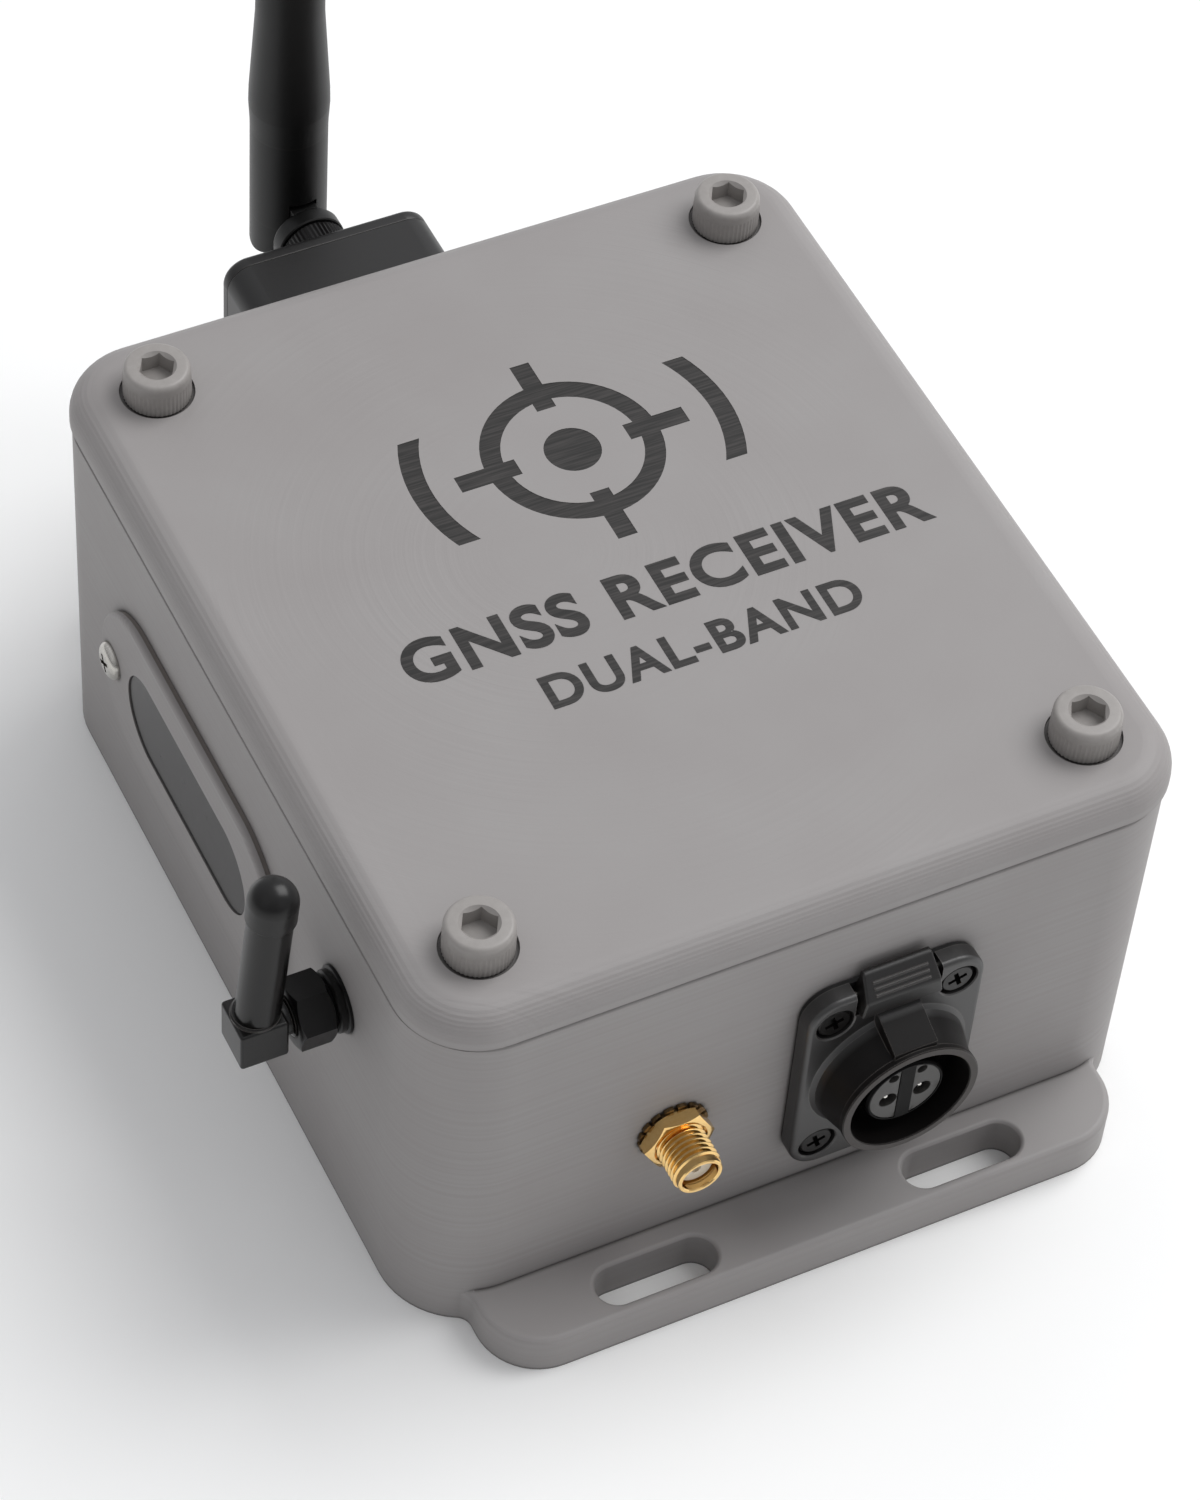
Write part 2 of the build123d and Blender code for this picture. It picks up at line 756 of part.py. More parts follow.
# ---- radio module and whip antenna ----

def radio_case():
    plane = rear(radio_x, radio_z)
    end = radio_depth - radio_cover
    outer = RectangleRounded(radio_width, radio_height, radio_corner)
    inner = RectangleRounded(radio_width - 2 * radio_wall, radio_height - 2 * radio_wall,
                             radio_corner - radio_wall)
    body = raised(plane, outer, 0.5, end) - raised(plane, inner, 0.5, end)
    body += raised(plane, at_each(radio_holes(), Circle(radio_post)) & outer, 0.5, end)
    return body - raised(plane, at_each(radio_holes(), Circle(radio_screw + 0.2)), 0.5, end)


def radio_seal():
    plane = rear(radio_x, radio_z)
    outer = RectangleRounded(radio_width - 0.4, radio_height - 0.4, radio_corner - 0.2)
    sheet = outer - RectangleRounded(radio_width - 4.4, radio_height - 4.4, 1.2)
    sheet += at_each(radio_holes(), Circle(radio_post - 0.2)) & outer
    sheet -= at_each(radio_holes(), Circle(radio_screw + 0.2))
    return raised(plane, sheet, 0, 0.5)


def radio_cover_part():
    plane = rear(radio_x, radio_z)
    start = radio_depth - radio_cover
    body = raised(plane, RectangleRounded(radio_width, radio_height, radio_corner), start, radio_depth)
    body = fillet(body.edges().group_by(Axis.Y)[-1], 0.9)
    holes = at_each(radio_holes(), Circle(radio_screw + 0.2))
    seats = at_each(radio_holes(), Circle(radio_screw_head + 0.1))
    body -= raised(plane, holes, start, radio_depth)
    body -= raised(plane, seats, radio_depth - 1.3, radio_depth)
    return body - disc(rear(whip_x, whip_z), jack_thread + jack_hole_clearance, start, radio_depth)


def radio_screws():
    plane = rear(radio_x, radio_z)
    seat = radio_depth - 1.3
    heads = raised(plane, at_each(radio_holes(), Circle(radio_screw_head)), seat, seat + 1.2)
    heads -= raised(plane, at_each(radio_holes(), hexagon(1.5)), seat + 0.4, seat + 1.2)
    return heads + raised(plane, at_each(radio_holes(), Circle(radio_screw)), -wall + 0.3, seat)


def radio_board_out():
    """How far the radio board's outer side is from the rear wall: the jack's tail ends on it."""
    return radio_depth - radio_cover - jack_flange - jack_tail_length


def radio_board():
    plane = rear(radio_x, radio_z)
    face = radio_board_out()
    sheet = RectangleRounded(radio_width - 2 * radio_wall - 1, radio_height - 2 * radio_wall - 1, 1)
    sheet -= at_each(radio_holes(), Circle(radio_post + 0.4))
    return raised(plane, sheet, face - 1.2, face)


def radio_chip():
    plane = rear(radio_x, radio_z - 6.2)
    face = radio_board_out()
    return raised(plane, Rectangle(11, 5.5), face, face + 1.8)


def whip_plane(out=0.0):
    return rear(whip_x, whip_z, radio_depth + out)


def whip_knuckle():
    """Neck in the coupling nut, collar, and a tongue with a round end for the hinge pin."""
    plane = whip_plane()
    nut_end = whip_nut_start + whip_nut_length
    shoulder = nut_end - whip_nut_wall
    body = disc(plane, 2.5, shoulder - 0.45, nut_end + 0.6)
    body += disc(plane, jack_thread - 0.15, shoulder - 0.45, shoulder - 0.05)
    collar = disc(plane, collar_radius, whip_collar_start, whip_collar_start + collar_length)
    body += fillet(collar.edges().group_by(Axis.Y)[-1], 0.5)
    root = nut_end + collar_length - 0.6
    middle_y = rear_wall + radio_depth + (root + whip_axis_out) / 2
    tongue = Box(tongue_thickness, whip_axis_out - root, 2 * tongue_radius - 0.2)
    body += Pos(whip_x, middle_y, whip_z) * tongue
    hinge = hinge_plane()
    body += extrude(hinge * Circle(tongue_radius), amount=tongue_thickness / 2, both=True)
    return body - extrude(hinge * Circle(whip_pin + fit_gap), amount=tongue_thickness, both=True)


def hinge_plane():
    return Plane(origin=(whip_x, rear_wall + radio_depth + whip_axis_out, whip_z), z_dir=(1, 0, 0))


def whip_sleeve():
    """Slotted lower barrel with a round end, a step and a tapered rod with a round tip."""
    y = rear_wall + radio_depth + whip_axis_out
    barrel = Pos(whip_x, y, whip_z - whip_radius) * extrude(Circle(whip_radius), whip_step_up + whip_radius)
    hinge = hinge_plane()
    end = extrude(hinge * Circle(whip_radius), amount=whip_radius, both=True)
    box = block((whip_x - 9, y - 9, whip_z), (whip_x + 9, y + 9, whip_z + whip_step_up))
    body = barrel & (end + box)
    profile = Plane(origin=(whip_x, y, whip_z), x_dir=(1, 0, 0), z_dir=(0, -1, 0))
    crown = whip_tip_up - whip_tip_radius
    line = Polyline((0, whip_step_up - 3), (whip_radius, whip_step_up - 3), (whip_step_radius, whip_step_up),
                    (whip_step_radius - 0.05, whip_step_up + 2.5), (whip_taper_radius, whip_taper_up),
                    (whip_tip_radius, crown))
    tip = CenterArc((0, crown), whip_tip_radius, 0, 90)
    edge = line + tip + Line((0, whip_tip_up), (0, whip_step_up - 3))
    body += revolve(profile * make_face(edge.edges()), Axis(origin=(whip_x, y, 0), direction=(0, 0, 1)))
    gap = tongue_thickness / 2 + whip_slot_gap
    slot_top = whip_z + tongue_radius + 0.6
    body -= block((whip_x - gap, y - 9, whip_z - 9), (whip_x + gap, y + 9, slot_top))
    body -= extrude(hinge * Circle(whip_pin + 0.01), amount=whip_radius, both=True)
    bore = Pos(whip_x, y, whip_z + 12) * extrude(Circle(1.6), whip_tip_up - 12 - 12)
    return body - bore


def whip_radiator():
    y = rear_wall + radio_depth + whip_axis_out
    return Pos(whip_x, y, whip_z + 12) * extrude(Circle(1.5), whip_tip_up - 12 - 12.5)


def whip_hinge_pin():
    return extrude(hinge_plane() * Circle(whip_pin), amount=whip_radius - 0.35, both=True)


# ---- boards and leads inside the box ----

def main_board():
    sheet = RectangleRounded(board_length, board_depth, 2)
    sheet -= at_each(board_places(), Circle(board_screw + 0.15))
    return Pos(0, 0, board_top - board_thickness) * extrude(sheet, board_thickness)


def board_screws():
    heads = Pos(0, 0, board_top) * extrude(at_each(board_places(), Circle(board_screw_head)), 1.8)
    heads = fillet(heads.edges().group_by(Axis.Z)[-1], 0.8)
    shanks = extrude(at_each(board_places(), Circle(board_screw)), 6.2)
    return heads + Pos(0, 0, board_top - 6.2) * shanks


def on_board(x, y, width, depth, height, corner=0.0):
    outline = RectangleRounded(width, depth, corner) if corner else Rectangle(width, depth)
    return Pos(x, y, board_top) * extrude(outline, height)


def heat_sink():
    """A finned block on the processor."""
    body = Pos(0, 0, 2.0) * on_board(18, 8, 26, 26, 9)
    for step in range(6):
        y = 8 - 10.8 + 4.32 * step
        body -= Pos(0, 0, 4.5) * on_board(18, y, 26, 2.2, 9)
    return body


def cell_holder():
    ring = Circle(11.5) - Circle(10.1)
    body = Pos(-24, 22, board_top) * extrude(ring, 4.0)
    return body + Pos(-24, 22, board_top) * extrude(Circle(10.6), 0.8)


def backup_cell():
    return Pos(-24, 22, board_top + 0.8) * extrude(Circle(10.0), 3.2)


def lead_sockets():
    """Where the leads meet the board: three coax plugs and two pin headers."""
    plugs = Part() + [on_board(x, y, 3.0, 3.0, 2.2) for x, y in ((-20.0, -26.0), (-32.0, -22.0))]
    plugs += on_board(power_x, -33.0, 11.0, 6.0, 6.0)
    plugs += on_board(-36.5, window_y, 5.0, 10.0, 4.0)
    plugs += on_board(radio_x, 33.0, 8.0, 5.0, 4.0)
    return plugs


def lead(points, radius):
    """A round lead on straight runs joined by arcs as large as the runs allow."""
    path = [Vector(*p) for p in points]
    radii = []
    for before, here, after in zip(path, path[1:], path[2:]):
        turn = math.radians((here - before).get_angle(after - here))
        shorter = min((here - before).length, (after - here).length)
        radii.append(0.45 * shorter / math.tan(turn / 2))
    print("lead radii", [round(r, 1) for r in radii])
    line = FilletPolyline(*points, radius=radii)
    start = Plane(origin=points[0], z_dir=path[1] - path[0])
    return sweep(start * Circle(radius), path=line)


def gnss_lead():
    y = front_wall + wall + jack_flange + jack_tail_length
    low = board_top + 1.2
    points = [(gnss_x, y, gnss_z), (gnss_x, y + 6, gnss_z), (-20.0, y + 13, gnss_z - 6.0),
              (-20.0, -32.0, low), (-20.0, -27.5, low)]
    return lead(points, 0.65)


def stub_lead():
    x = left_wall + wall + jack_flange + jack_tail_length
    low = board_top + 1.2
    points = [(x, stub_y, stub_z), (x + 5.5, stub_y, stub_z), (-33.0, stub_y + 1.0, stub_z - 6.0),
              (-32.0, -30.5, low + 4.0), (-32.0, -28.5, low), (-32.0, -23.5, low)]
    return lead(points, 0.65)


def power_leads():
    """Two supply leads and two signal leads from the contacts to their header."""
    start = front_wall + shell_tail_length - 3 + contact_tail
    top = board_top + 6.0
    leads = Part()
    for places, y, radius in ((contact_places(), -33.4, 0.8), (signal_places(), -31.4, 0.4)):
        for x, z in places:
            at = power_x + x
            up = power_z + z
            points = [(at, start, up), (at, y - 6.5, up), (at, y, up - 5.5), (at, y, top)]
            leads += lead(points, radius)
    return leads


def status_lead():
    x = left_wall + wall + status_post + status_board
    points = [(x, window_y, 26.0), (x + 3.5, window_y, 26.0), (-36.5, window_y, 20.5),
              (-36.5, window_y, board_top + 4.0)]
    return lead(points, 0.9)


def radio_lead():
    y = rear_wall + radio_board_out() - 1.2
    points = [(radio_x, y, radio_z), (radio_x, 47.0, radio_z), (radio_x, 36.0, radio_z - 9.0),
              (radio_x, 33.0, radio_z - 20.0), (radio_x, 33.0, board_top + 4.0)]
    return lead(points, 0.9)


os.makedirs("parts", exist_ok=True)

gnss_face = front(gnss_x, gnss_z)
stub_face = left(stub_y, stub_z)
whip_face = whip_plane()
jacks = [(gnss_face, wall, washer_thickness + nut_thickness, jack_reach, jack_tail_length),
         (stub_face, wall, stub_ring, stub_reach, jack_tail_length),
         (whip_face, radio_cover, whip_ring, whip_reach, jack_tail_length)]

save("base_housing", base_housing())
save("lid", lid())
save("lid_emblem", lid_emblem())
save("lid_gasket", lid_gasket())
save("lid_screws", lid_screws())
save("lid_inserts", lid_inserts())

save("gnss_jack", jack_body(*jacks[0]))
save("gnss_jack_nut", jack_nut(gnss_face, washer_thickness, nut_thickness))
save("gnss_jack_washer", toothed_washer(gnss_face))
save("stub_jack", jack_body(*jacks[1]))
save("stub_jack_nut", disc(stub_face, stub_ring_radius, 0, stub_ring)
     - disc(stub_face, jack_thread + fit_gap, 0, stub_ring))
save("whip_jack", jack_body(*jacks[2]))
save("whip_jack_nut", jack_nut(whip_face, 0, whip_ring))
save("jack_insulators", Part() + [jack_insulator(*jack) for jack in jacks])
save("jack_contacts", Part() + [jack_centre(*jack) for jack in jacks])

save("power_shell", power_shell())
save("power_seal", power_seal())
save("power_screws", power_screws())
save("power_insert", power_insert())
save("contact_carriers", contact_carriers())
save("power_contacts", power_contacts())
save("latch_lever", latch_lever())
save("latch_pin", latch_pin_part())
save("latch_spring", latch_spring())

save("window_bezel", window_bezel())
save("window_seal", window_seal())
save("window_lens", window_lens())
save("window_screws", window_screws())
save("status_board", status_board_part())
save("status_leds", status_leds())
save("status_screws", status_screws())

save("stub_coupling_nut",
     coupling_nut(stub_face, stub_nut_start, stub_nut_length, stub_nut_wall, stub_neck, True))
save("stub_elbow", stub_elbow())
save("stub_sleeve", stub_sleeve())
save("stub_radiator", stub_radiator())
save("stub_cap", stub_cap())

save("radio_case", radio_case())
save("radio_seal", radio_seal())
save("radio_cover", radio_cover_part())
save("radio_screws", radio_screws())
save("radio_board", radio_board())
save("radio_chip", radio_chip())
save("whip_coupling_nut", coupling_nut(whip_face, whip_nut_start, whip_nut_length, whip_nut_wall, 2.5, False))
save("whip_knuckle", whip_knuckle())
save("whip_hinge_pin", whip_hinge_pin())
save("whip_sleeve", whip_sleeve())
save("whip_radiator", whip_radiator())

save("main_board", main_board())
save("board_screws", board_screws())
save("receiver_module", on_board(-20, -6, 17, 22, 2.4, 0.6))
save("processor", on_board(18, 8, 17, 17, 2.0))
save("heat_sink", heat_sink())
save("cell_holder", cell_holder())
save("backup_cell", backup_cell())
save("lead_sockets", lead_sockets())
save("gnss_lead", gnss_lead())
save("stub_lead", stub_lead())
save("power_leads", power_leads())
save("status_lead", status_lead())
save("radio_lead", radio_lead())
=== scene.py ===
import math
import bmesh
import bpy
from mathutils import Matrix, Vector


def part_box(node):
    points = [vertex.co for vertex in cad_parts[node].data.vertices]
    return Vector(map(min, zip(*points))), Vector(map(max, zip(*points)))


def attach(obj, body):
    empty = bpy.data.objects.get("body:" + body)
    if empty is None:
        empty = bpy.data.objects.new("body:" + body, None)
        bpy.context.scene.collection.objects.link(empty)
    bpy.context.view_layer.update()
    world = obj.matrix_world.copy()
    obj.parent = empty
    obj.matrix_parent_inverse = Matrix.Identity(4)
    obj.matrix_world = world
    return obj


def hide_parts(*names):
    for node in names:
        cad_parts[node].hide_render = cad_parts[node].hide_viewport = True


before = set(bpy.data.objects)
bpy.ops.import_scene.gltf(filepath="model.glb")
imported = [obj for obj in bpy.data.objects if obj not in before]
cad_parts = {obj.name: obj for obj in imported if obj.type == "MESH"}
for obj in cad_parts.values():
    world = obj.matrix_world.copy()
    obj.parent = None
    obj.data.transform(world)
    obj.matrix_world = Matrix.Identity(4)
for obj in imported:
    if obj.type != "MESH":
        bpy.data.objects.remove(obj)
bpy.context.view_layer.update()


# ---- Floor, light and camera ----
# A pale seamless sweep under an even sky and one large soft window of light on the right,
# with weak fills from the left and the front, seen from above the connector corner.

MM = 0.001


def linear(code):
    """An sRGB hex colour as the linear colour that a shader takes."""
    parts = [int(code[i:i + 2], 16) / 255 for i in (1, 3, 5)]
    return [c / 12.92 if c <= 0.04045 else ((c + 0.055) / 1.055) ** 2.4 for c in parts] + [1.0]


def add(tree, kind, inputs=None, **fields):
    """Adds a node, sets its fields, and sets or links its inputs."""
    made = tree.nodes.new(kind)
    for name, value in fields.items():
        setattr(made, name, value)
    for name, value in (inputs or {}).items():
        if isinstance(value, bpy.types.NodeSocket):
            tree.links.new(value, made.inputs[name])
        else:
            made.inputs[name].default_value = value
    return made


def start_finish(name, metallic, roughness, ior=None):
    """A new material with its node tree, its shader and the object's coordinates in millimetres."""
    made = bpy.data.materials.new(name)
    made.use_nodes = True
    tree = made.node_tree
    shader = tree.nodes["Principled BSDF"]
    shader.inputs["Metallic"].default_value = metallic
    shader.inputs["Roughness"].default_value = roughness
    if ior:
        shader.inputs["IOR"].default_value = ior
    place = add(tree, "ShaderNodeTexCoord").outputs["Object"]
    in_mm = add(tree, "ShaderNodeMapping", {"Vector": place, "Scale": (1000, 1000, 1000)}).outputs["Vector"]
    return made, tree, shader, in_mm


floor_colour = "#fbfbfa"
floor_finish, floor_tree, floor_shader, floor_mm = start_finish("matt_white_paper", 0.0, 0.85)
paper = add(floor_tree, "ShaderNodeTexNoise", {"Vector": floor_mm, "Scale": 0.02, "Detail": 2.0})
paper_tone = add(floor_tree, "ShaderNodeMix", {"Factor": paper.outputs["Fac"], "A": linear(floor_colour),
                                               "B": linear("#f8f8f7")}, data_type="RGBA")
floor_tree.links.new(paper_tone.outputs["Result"], floor_shader.inputs["Base Color"])

sweep = bmesh.new()
bmesh.ops.create_grid(sweep, x_segments=2, y_segments=2, size=4.0)
floor_mesh = bpy.data.meshes.new("floor")
sweep.to_mesh(floor_mesh)
sweep.free()
floor_mesh.materials.append(floor_finish)
floor = bpy.data.objects.new("floor", floor_mesh)
bpy.context.scene.collection.objects.link(floor)

bpy.context.scene.view_settings.view_transform = "Standard"
world = bpy.data.worlds.new("studio")
world.use_nodes = True
sky_tree = world.node_tree
towards = add(sky_tree, "ShaderNodeTexCoord").outputs["Generated"]
bright_side = add(sky_tree, "ShaderNodeVectorMath", {0: towards, 1: (0.35, 0.4, 0.85)}, operation="DOT_PRODUCT")
sky_tone = add(sky_tree, "ShaderNodeMapRange", {"Value": bright_side.outputs["Value"], "From Min": -0.25,
                                                "From Max": 0.95, "To Min": 0.42, "To Max": 1.0})
sky_colour = add(sky_tree, "ShaderNodeMix", {"Factor": sky_tone.outputs["Result"], "A": linear("#000000"),
                                             "B": linear("#fbfcff")}, data_type="RGBA")
sky = sky_tree.nodes["Background"]
sky_tree.links.new(sky_colour.outputs["Result"], sky.inputs["Color"])
sky.inputs["Strength"].default_value = 0.77
bpy.context.scene.world = world

for name, place, width, watts in (("window_light", (1.05, 0.1, 1.45), 1.3, 22.5),
                                  ("fill_light", (-1.2, -0.5, 0.9), 1.0, 0.5),
                                  ("front_light", (0.5, -1.5, 0.8), 0.9, 0.5)):
    lamp = bpy.data.lights.new(name, "AREA")
    lamp.shape = "SQUARE"
    lamp.size = width
    lamp.energy = watts
    holder = bpy.data.objects.new(name, lamp)
    holder.location = place
    holder.rotation_euler = (Vector((0, 0, 0.03)) - Vector(place)).to_track_quat("-Z", "Y").to_euler()
    bpy.context.scene.collection.objects.link(holder)

azimuth, elevation, roll = (math.radians(a) for a in (-29.865, 50.257, 5.124))
target = Vector((-4.888, -10.266, 37.62)) * MM
back = Vector((math.sin(azimuth) * math.cos(elevation), -math.cos(azimuth) * math.cos(elevation),
               math.sin(elevation)))
right = (-back).cross(Vector((0, 0, 1))).normalized()
up = right.cross(-back)
right_rolled = math.cos(roll) * right + math.sin(roll) * up
up_rolled = -math.sin(roll) * right + math.cos(roll) * up
lens_data = bpy.data.cameras.new("camera")
lens_data.sensor_width = 36.0
lens_data.lens = 116.19
camera = bpy.data.objects.new("camera", lens_data)
camera.matrix_world = Matrix.Translation(target + back * 592.72 * MM) @ Matrix(
    (right_rolled, up_rolled, back)).transposed().to_4x4()
bpy.context.scene.collection.objects.link(camera)
bpy.context.scene.camera = camera


# ---- Case ----
# The box with its two slotted tabs, printed in grey ASA with the floor on the bed. The 0.2 mm layers
# run level round the walls and leave a fine, uneven horizontal grain.

case_grey = "#949190"
case_grey_worn = "#8f8b8a"


def printed(name, ring_centre=None):
    """Printed ASA: layers across Z, a faint mottle, painted shade in crevices, and on a top face the nozzle's round
    passes.
    """
    made, tree, shader, in_mm = start_finish(name, 0.0, 0.56, 1.5)
    axes = add(tree, "ShaderNodeSeparateXYZ", {"Vector": in_mm})
    bands = add(tree, "ShaderNodeTexNoise", {"W": axes.outputs["Z"], "Scale": 1.3, "Detail": 3.0},
                noise_dimensions="1D")
    mottle = add(tree, "ShaderNodeTexNoise", {"Vector": in_mm, "Scale": 0.06, "Detail": 3.0})
    tone = add(tree, "ShaderNodeMath", {0: bands.outputs["Fac"], 1: mottle.outputs["Fac"]}, operation="MULTIPLY")
    tone = add(tree, "ShaderNodeMapRange", {"Value": tone.outputs["Value"], "From Min": 0.12, "From Max": 0.42})
    colour = add(tree, "ShaderNodeMix", {"Factor": tone.outputs["Result"], "A": linear(case_grey_worn),
                                         "B": linear(case_grey)}, data_type="RGBA")
    # Painted shade: within 0.6 mm of the seam and round what is screwed on, where ambient occlusion finds a crevice,
    # the colour darkens towards a dark grey.
    corner = add(tree, "ShaderNodeAmbientOcclusion", {"Distance": 0.0006}, samples=6)
    painted_crevice_shade = add(tree, "ShaderNodeMapRange", {"Value": corner.outputs["AO"], "From Min": 0.5, "From Max": 0.9,
                                            "To Min": 0.95, "To Max": 0.0})
    colour = add(tree, "ShaderNodeMix", {"Factor": painted_crevice_shade.outputs["Result"], "A": colour.outputs["Result"],
                                         "B": linear("#3a3735")}, data_type="RGBA")
    tree.links.new(colour.outputs["Result"], shader.inputs["Base Color"])
    # Layers are drawn 0.4 mm high, twice the real ones, because those are too fine to show. They are
    # steps on a rounded shoulder, and next to nothing on an upright wall.
    step = add(tree, "ShaderNodeMath", {0: axes.outputs["Z"], 1: 2.5, 2: 0.5}, operation="MULTIPLY_ADD")
    step = add(tree, "ShaderNodeMath", {0: step.outputs["Value"], 1: 0.5}, operation="PINGPONG")
    slope = add(tree, "ShaderNodeSeparateXYZ", {"Vector": add(tree, "ShaderNodeNewGeometry").outputs["Normal"]})
    shoulder = add(tree, "ShaderNodeMapRange", {"Value": slope.outputs["Z"], "From Min": 0.1, "From Max": 0.45,
                                                "To Min": 0.1, "To Max": 2.4})
    step = add(tree, "ShaderNodeMath", {0: step.outputs["Value"], 1: shoulder.outputs["Result"]},
               operation="MULTIPLY")
    height = add(tree, "ShaderNodeMath", {0: bands.outputs["Fac"], 1: 0.1, 2: step.outputs["Value"]},
                 operation="MULTIPLY_ADD")
    if ring_centre:
        side = add(tree, "ShaderNodeVectorMath", {0: in_mm, 1: (*ring_centre, 0)}, operation="SUBTRACT")
        flat = add(tree, "ShaderNodeVectorMath", {0: side.outputs["Vector"], 1: (1, 1, 0)}, operation="MULTIPLY")
        reach = add(tree, "ShaderNodeVectorMath", {0: flat.outputs["Vector"]}, operation="LENGTH")
        rings = add(tree, "ShaderNodeTexNoise", {"W": reach.outputs["Value"], "Scale": 1.1, "Detail": 2.0},
                    noise_dimensions="1D")
        patch = add(tree, "ShaderNodeTexNoise", {"Vector": in_mm, "Scale": 0.03, "Detail": 1.0})
        patch = add(tree, "ShaderNodeMapRange", {"Value": patch.outputs["Fac"], "From Min": 0.4, "From Max": 0.7,
                                                 "To Max": 2.6})
        rings = add(tree, "ShaderNodeMath", {0: rings.outputs["Fac"], 1: patch.outputs["Result"]},
                    operation="MULTIPLY")
        height = add(tree, "ShaderNodeMath", {0: height.outputs["Value"], 1: rings.outputs["Value"]},
                     operation="ADD")
    grain = add(tree, "ShaderNodeTexNoise", {"Vector": in_mm, "Scale": 3.0, "Detail": 2.0})
    height = add(tree, "ShaderNodeMath", {0: grain.outputs["Fac"], 1: 0.25, 2: height.outputs["Value"]},
                 operation="MULTIPLY_ADD")
    relief = add(tree, "ShaderNodeBump", {"Height": height.outputs["Value"], "Strength": 0.5, "Distance": 0.00005})
    tree.links.new(relief.outputs["Normal"], shader.inputs["Normal"])
    return made


def from_frame(*nodes):
    """A merged copy of CAD nodes, in metres."""
    shape = bmesh.new()
    for node in nodes:
        shape.from_mesh(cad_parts[node].data)
    bmesh.ops.remove_doubles(shape, verts=shape.verts, dist=1e-7)
    bmesh.ops.dissolve_limit(shape, angle_limit=math.radians(0.3), verts=shape.verts, edges=shape.edges)
    return shape


def move(shape, matrix):
    """Moves a whole shape by a matrix."""
    bmesh.ops.transform(shape, matrix=matrix, verts=shape.verts)


def show(name, shape, finish, body, slot, *nodes, angle=32):
    """Makes a shape in metres a shown piece, smooth up to an edge angle, in place of its CAD nodes."""
    mesh = bpy.data.meshes.new(name)
    shape.to_mesh(mesh)
    shape.free()
    mesh.materials.clear()
    mesh.materials.append(finish)
    mesh.shade_smooth()
    mesh.set_sharp_from_angle(angle=math.radians(angle))
    made = bpy.data.objects.new(name, mesh)
    bpy.context.scene.collection.objects.link(made)
    level = made.modifiers.new("level_faces", "WEIGHTED_NORMAL")
    level.keep_sharp = True
    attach(made, body)
    if nodes:
        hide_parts(*nodes)
    return made


def true_corners(piece, half_x, half_y, corner):
    """Shades the upright walls as the exact round-cornered outline, and all else as its faces weigh it."""
    weighed = piece.evaluated_get(bpy.context.evaluated_depsgraph_get()).to_mesh()
    normals = [entry.vector.copy() for entry in weighed.corner_normals]
    mesh = piece.data
    for face in mesh.polygons:
        if abs(face.normal.z) > 0.02:
            continue
        outs = {}
        for corner_index in face.loop_indices:
            spot = mesh.vertices[mesh.loops[corner_index].vertex_index].co
            centre = Vector((max(corner - half_x, min(half_x - corner, spot.x)),
                             max(corner - half_y, min(half_y - corner, spot.y)), spot.z))
            outs[corner_index] = spot - centre
        if all(abs(out.length - corner) < 5e-5 for out in outs.values()):
            for corner_index, out in outs.items():
                normals[corner_index] = out.normalized()
    piece.modifiers.clear()
    mesh.normals_split_custom_set(normals)


printed_asa = printed("printed_asa")
case = show("case_shell", from_frame("base_housing"), printed_asa, "enclosure", "case_grey", "base_housing", angle=24)
lid_low, lid_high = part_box("lid")
base_corner = 0.011
true_corners(case, lid_high.x, lid_high.y, base_corner)


# ---- Lid and its seal ----
# The lid is printed upside down in the same ASA, so its top has the round marks of the first layer,
# and its rounded edge shows each layer as a fine step. A rubber ring is pressed under it.

lid_middle = (lid_low + lid_high) / 2
printed_lid = printed("printed_asa_lid", (lid_middle.x / MM - 6.0, lid_middle.y / MM + 4.0))
show("lid_cover", from_frame("lid"), printed_lid, "enclosure", "case_grey", "lid", angle=24)


def grained(name, light, dark, grain, relief, metallic, roughness, ior=None, spread=0.1):
    """A finish of two near tones in a grain of that size in millimetres, with as uneven a gloss and relief."""
    made, tree, shader, in_mm = start_finish(name, metallic, roughness, ior)
    noise = add(tree, "ShaderNodeTexNoise", {"Vector": in_mm, "Scale": 1 / grain, "Detail": 3.0})
    colour = add(tree, "ShaderNodeMix", {"Factor": noise.outputs["Fac"], "A": linear(dark), "B": linear(light)},
                 data_type="RGBA")
    gloss = add(tree, "ShaderNodeMapRange", {"Value": noise.outputs["Fac"], "To Min": roughness - spread / 2,
                                             "To Max": roughness + spread / 2})
    bump = add(tree, "ShaderNodeBump", {"Height": noise.outputs["Fac"], "Strength": 0.4, "Distance": relief * MM})
    tree.links.new(colour.outputs["Result"], shader.inputs["Base Color"])
    tree.links.new(gloss.outputs["Result"], shader.inputs["Roughness"])
    tree.links.new(bump.outputs["Normal"], shader.inputs["Normal"])
    return made


neoprene = grained("neoprene_sheet", "#1c1c1c", "#121212", 0.5, 0.02, 0.0, 0.75, 1.5)
show("lid_seal", from_frame("lid_gasket"), neoprene, "enclosure", "seal_rubber", "lid_gasket")


# ---- Emblem and lettering ----
# A position target and two plain lines of words, in black acrylic let into the lid and rubbed down
# with it, which leaves straight fine scratches.

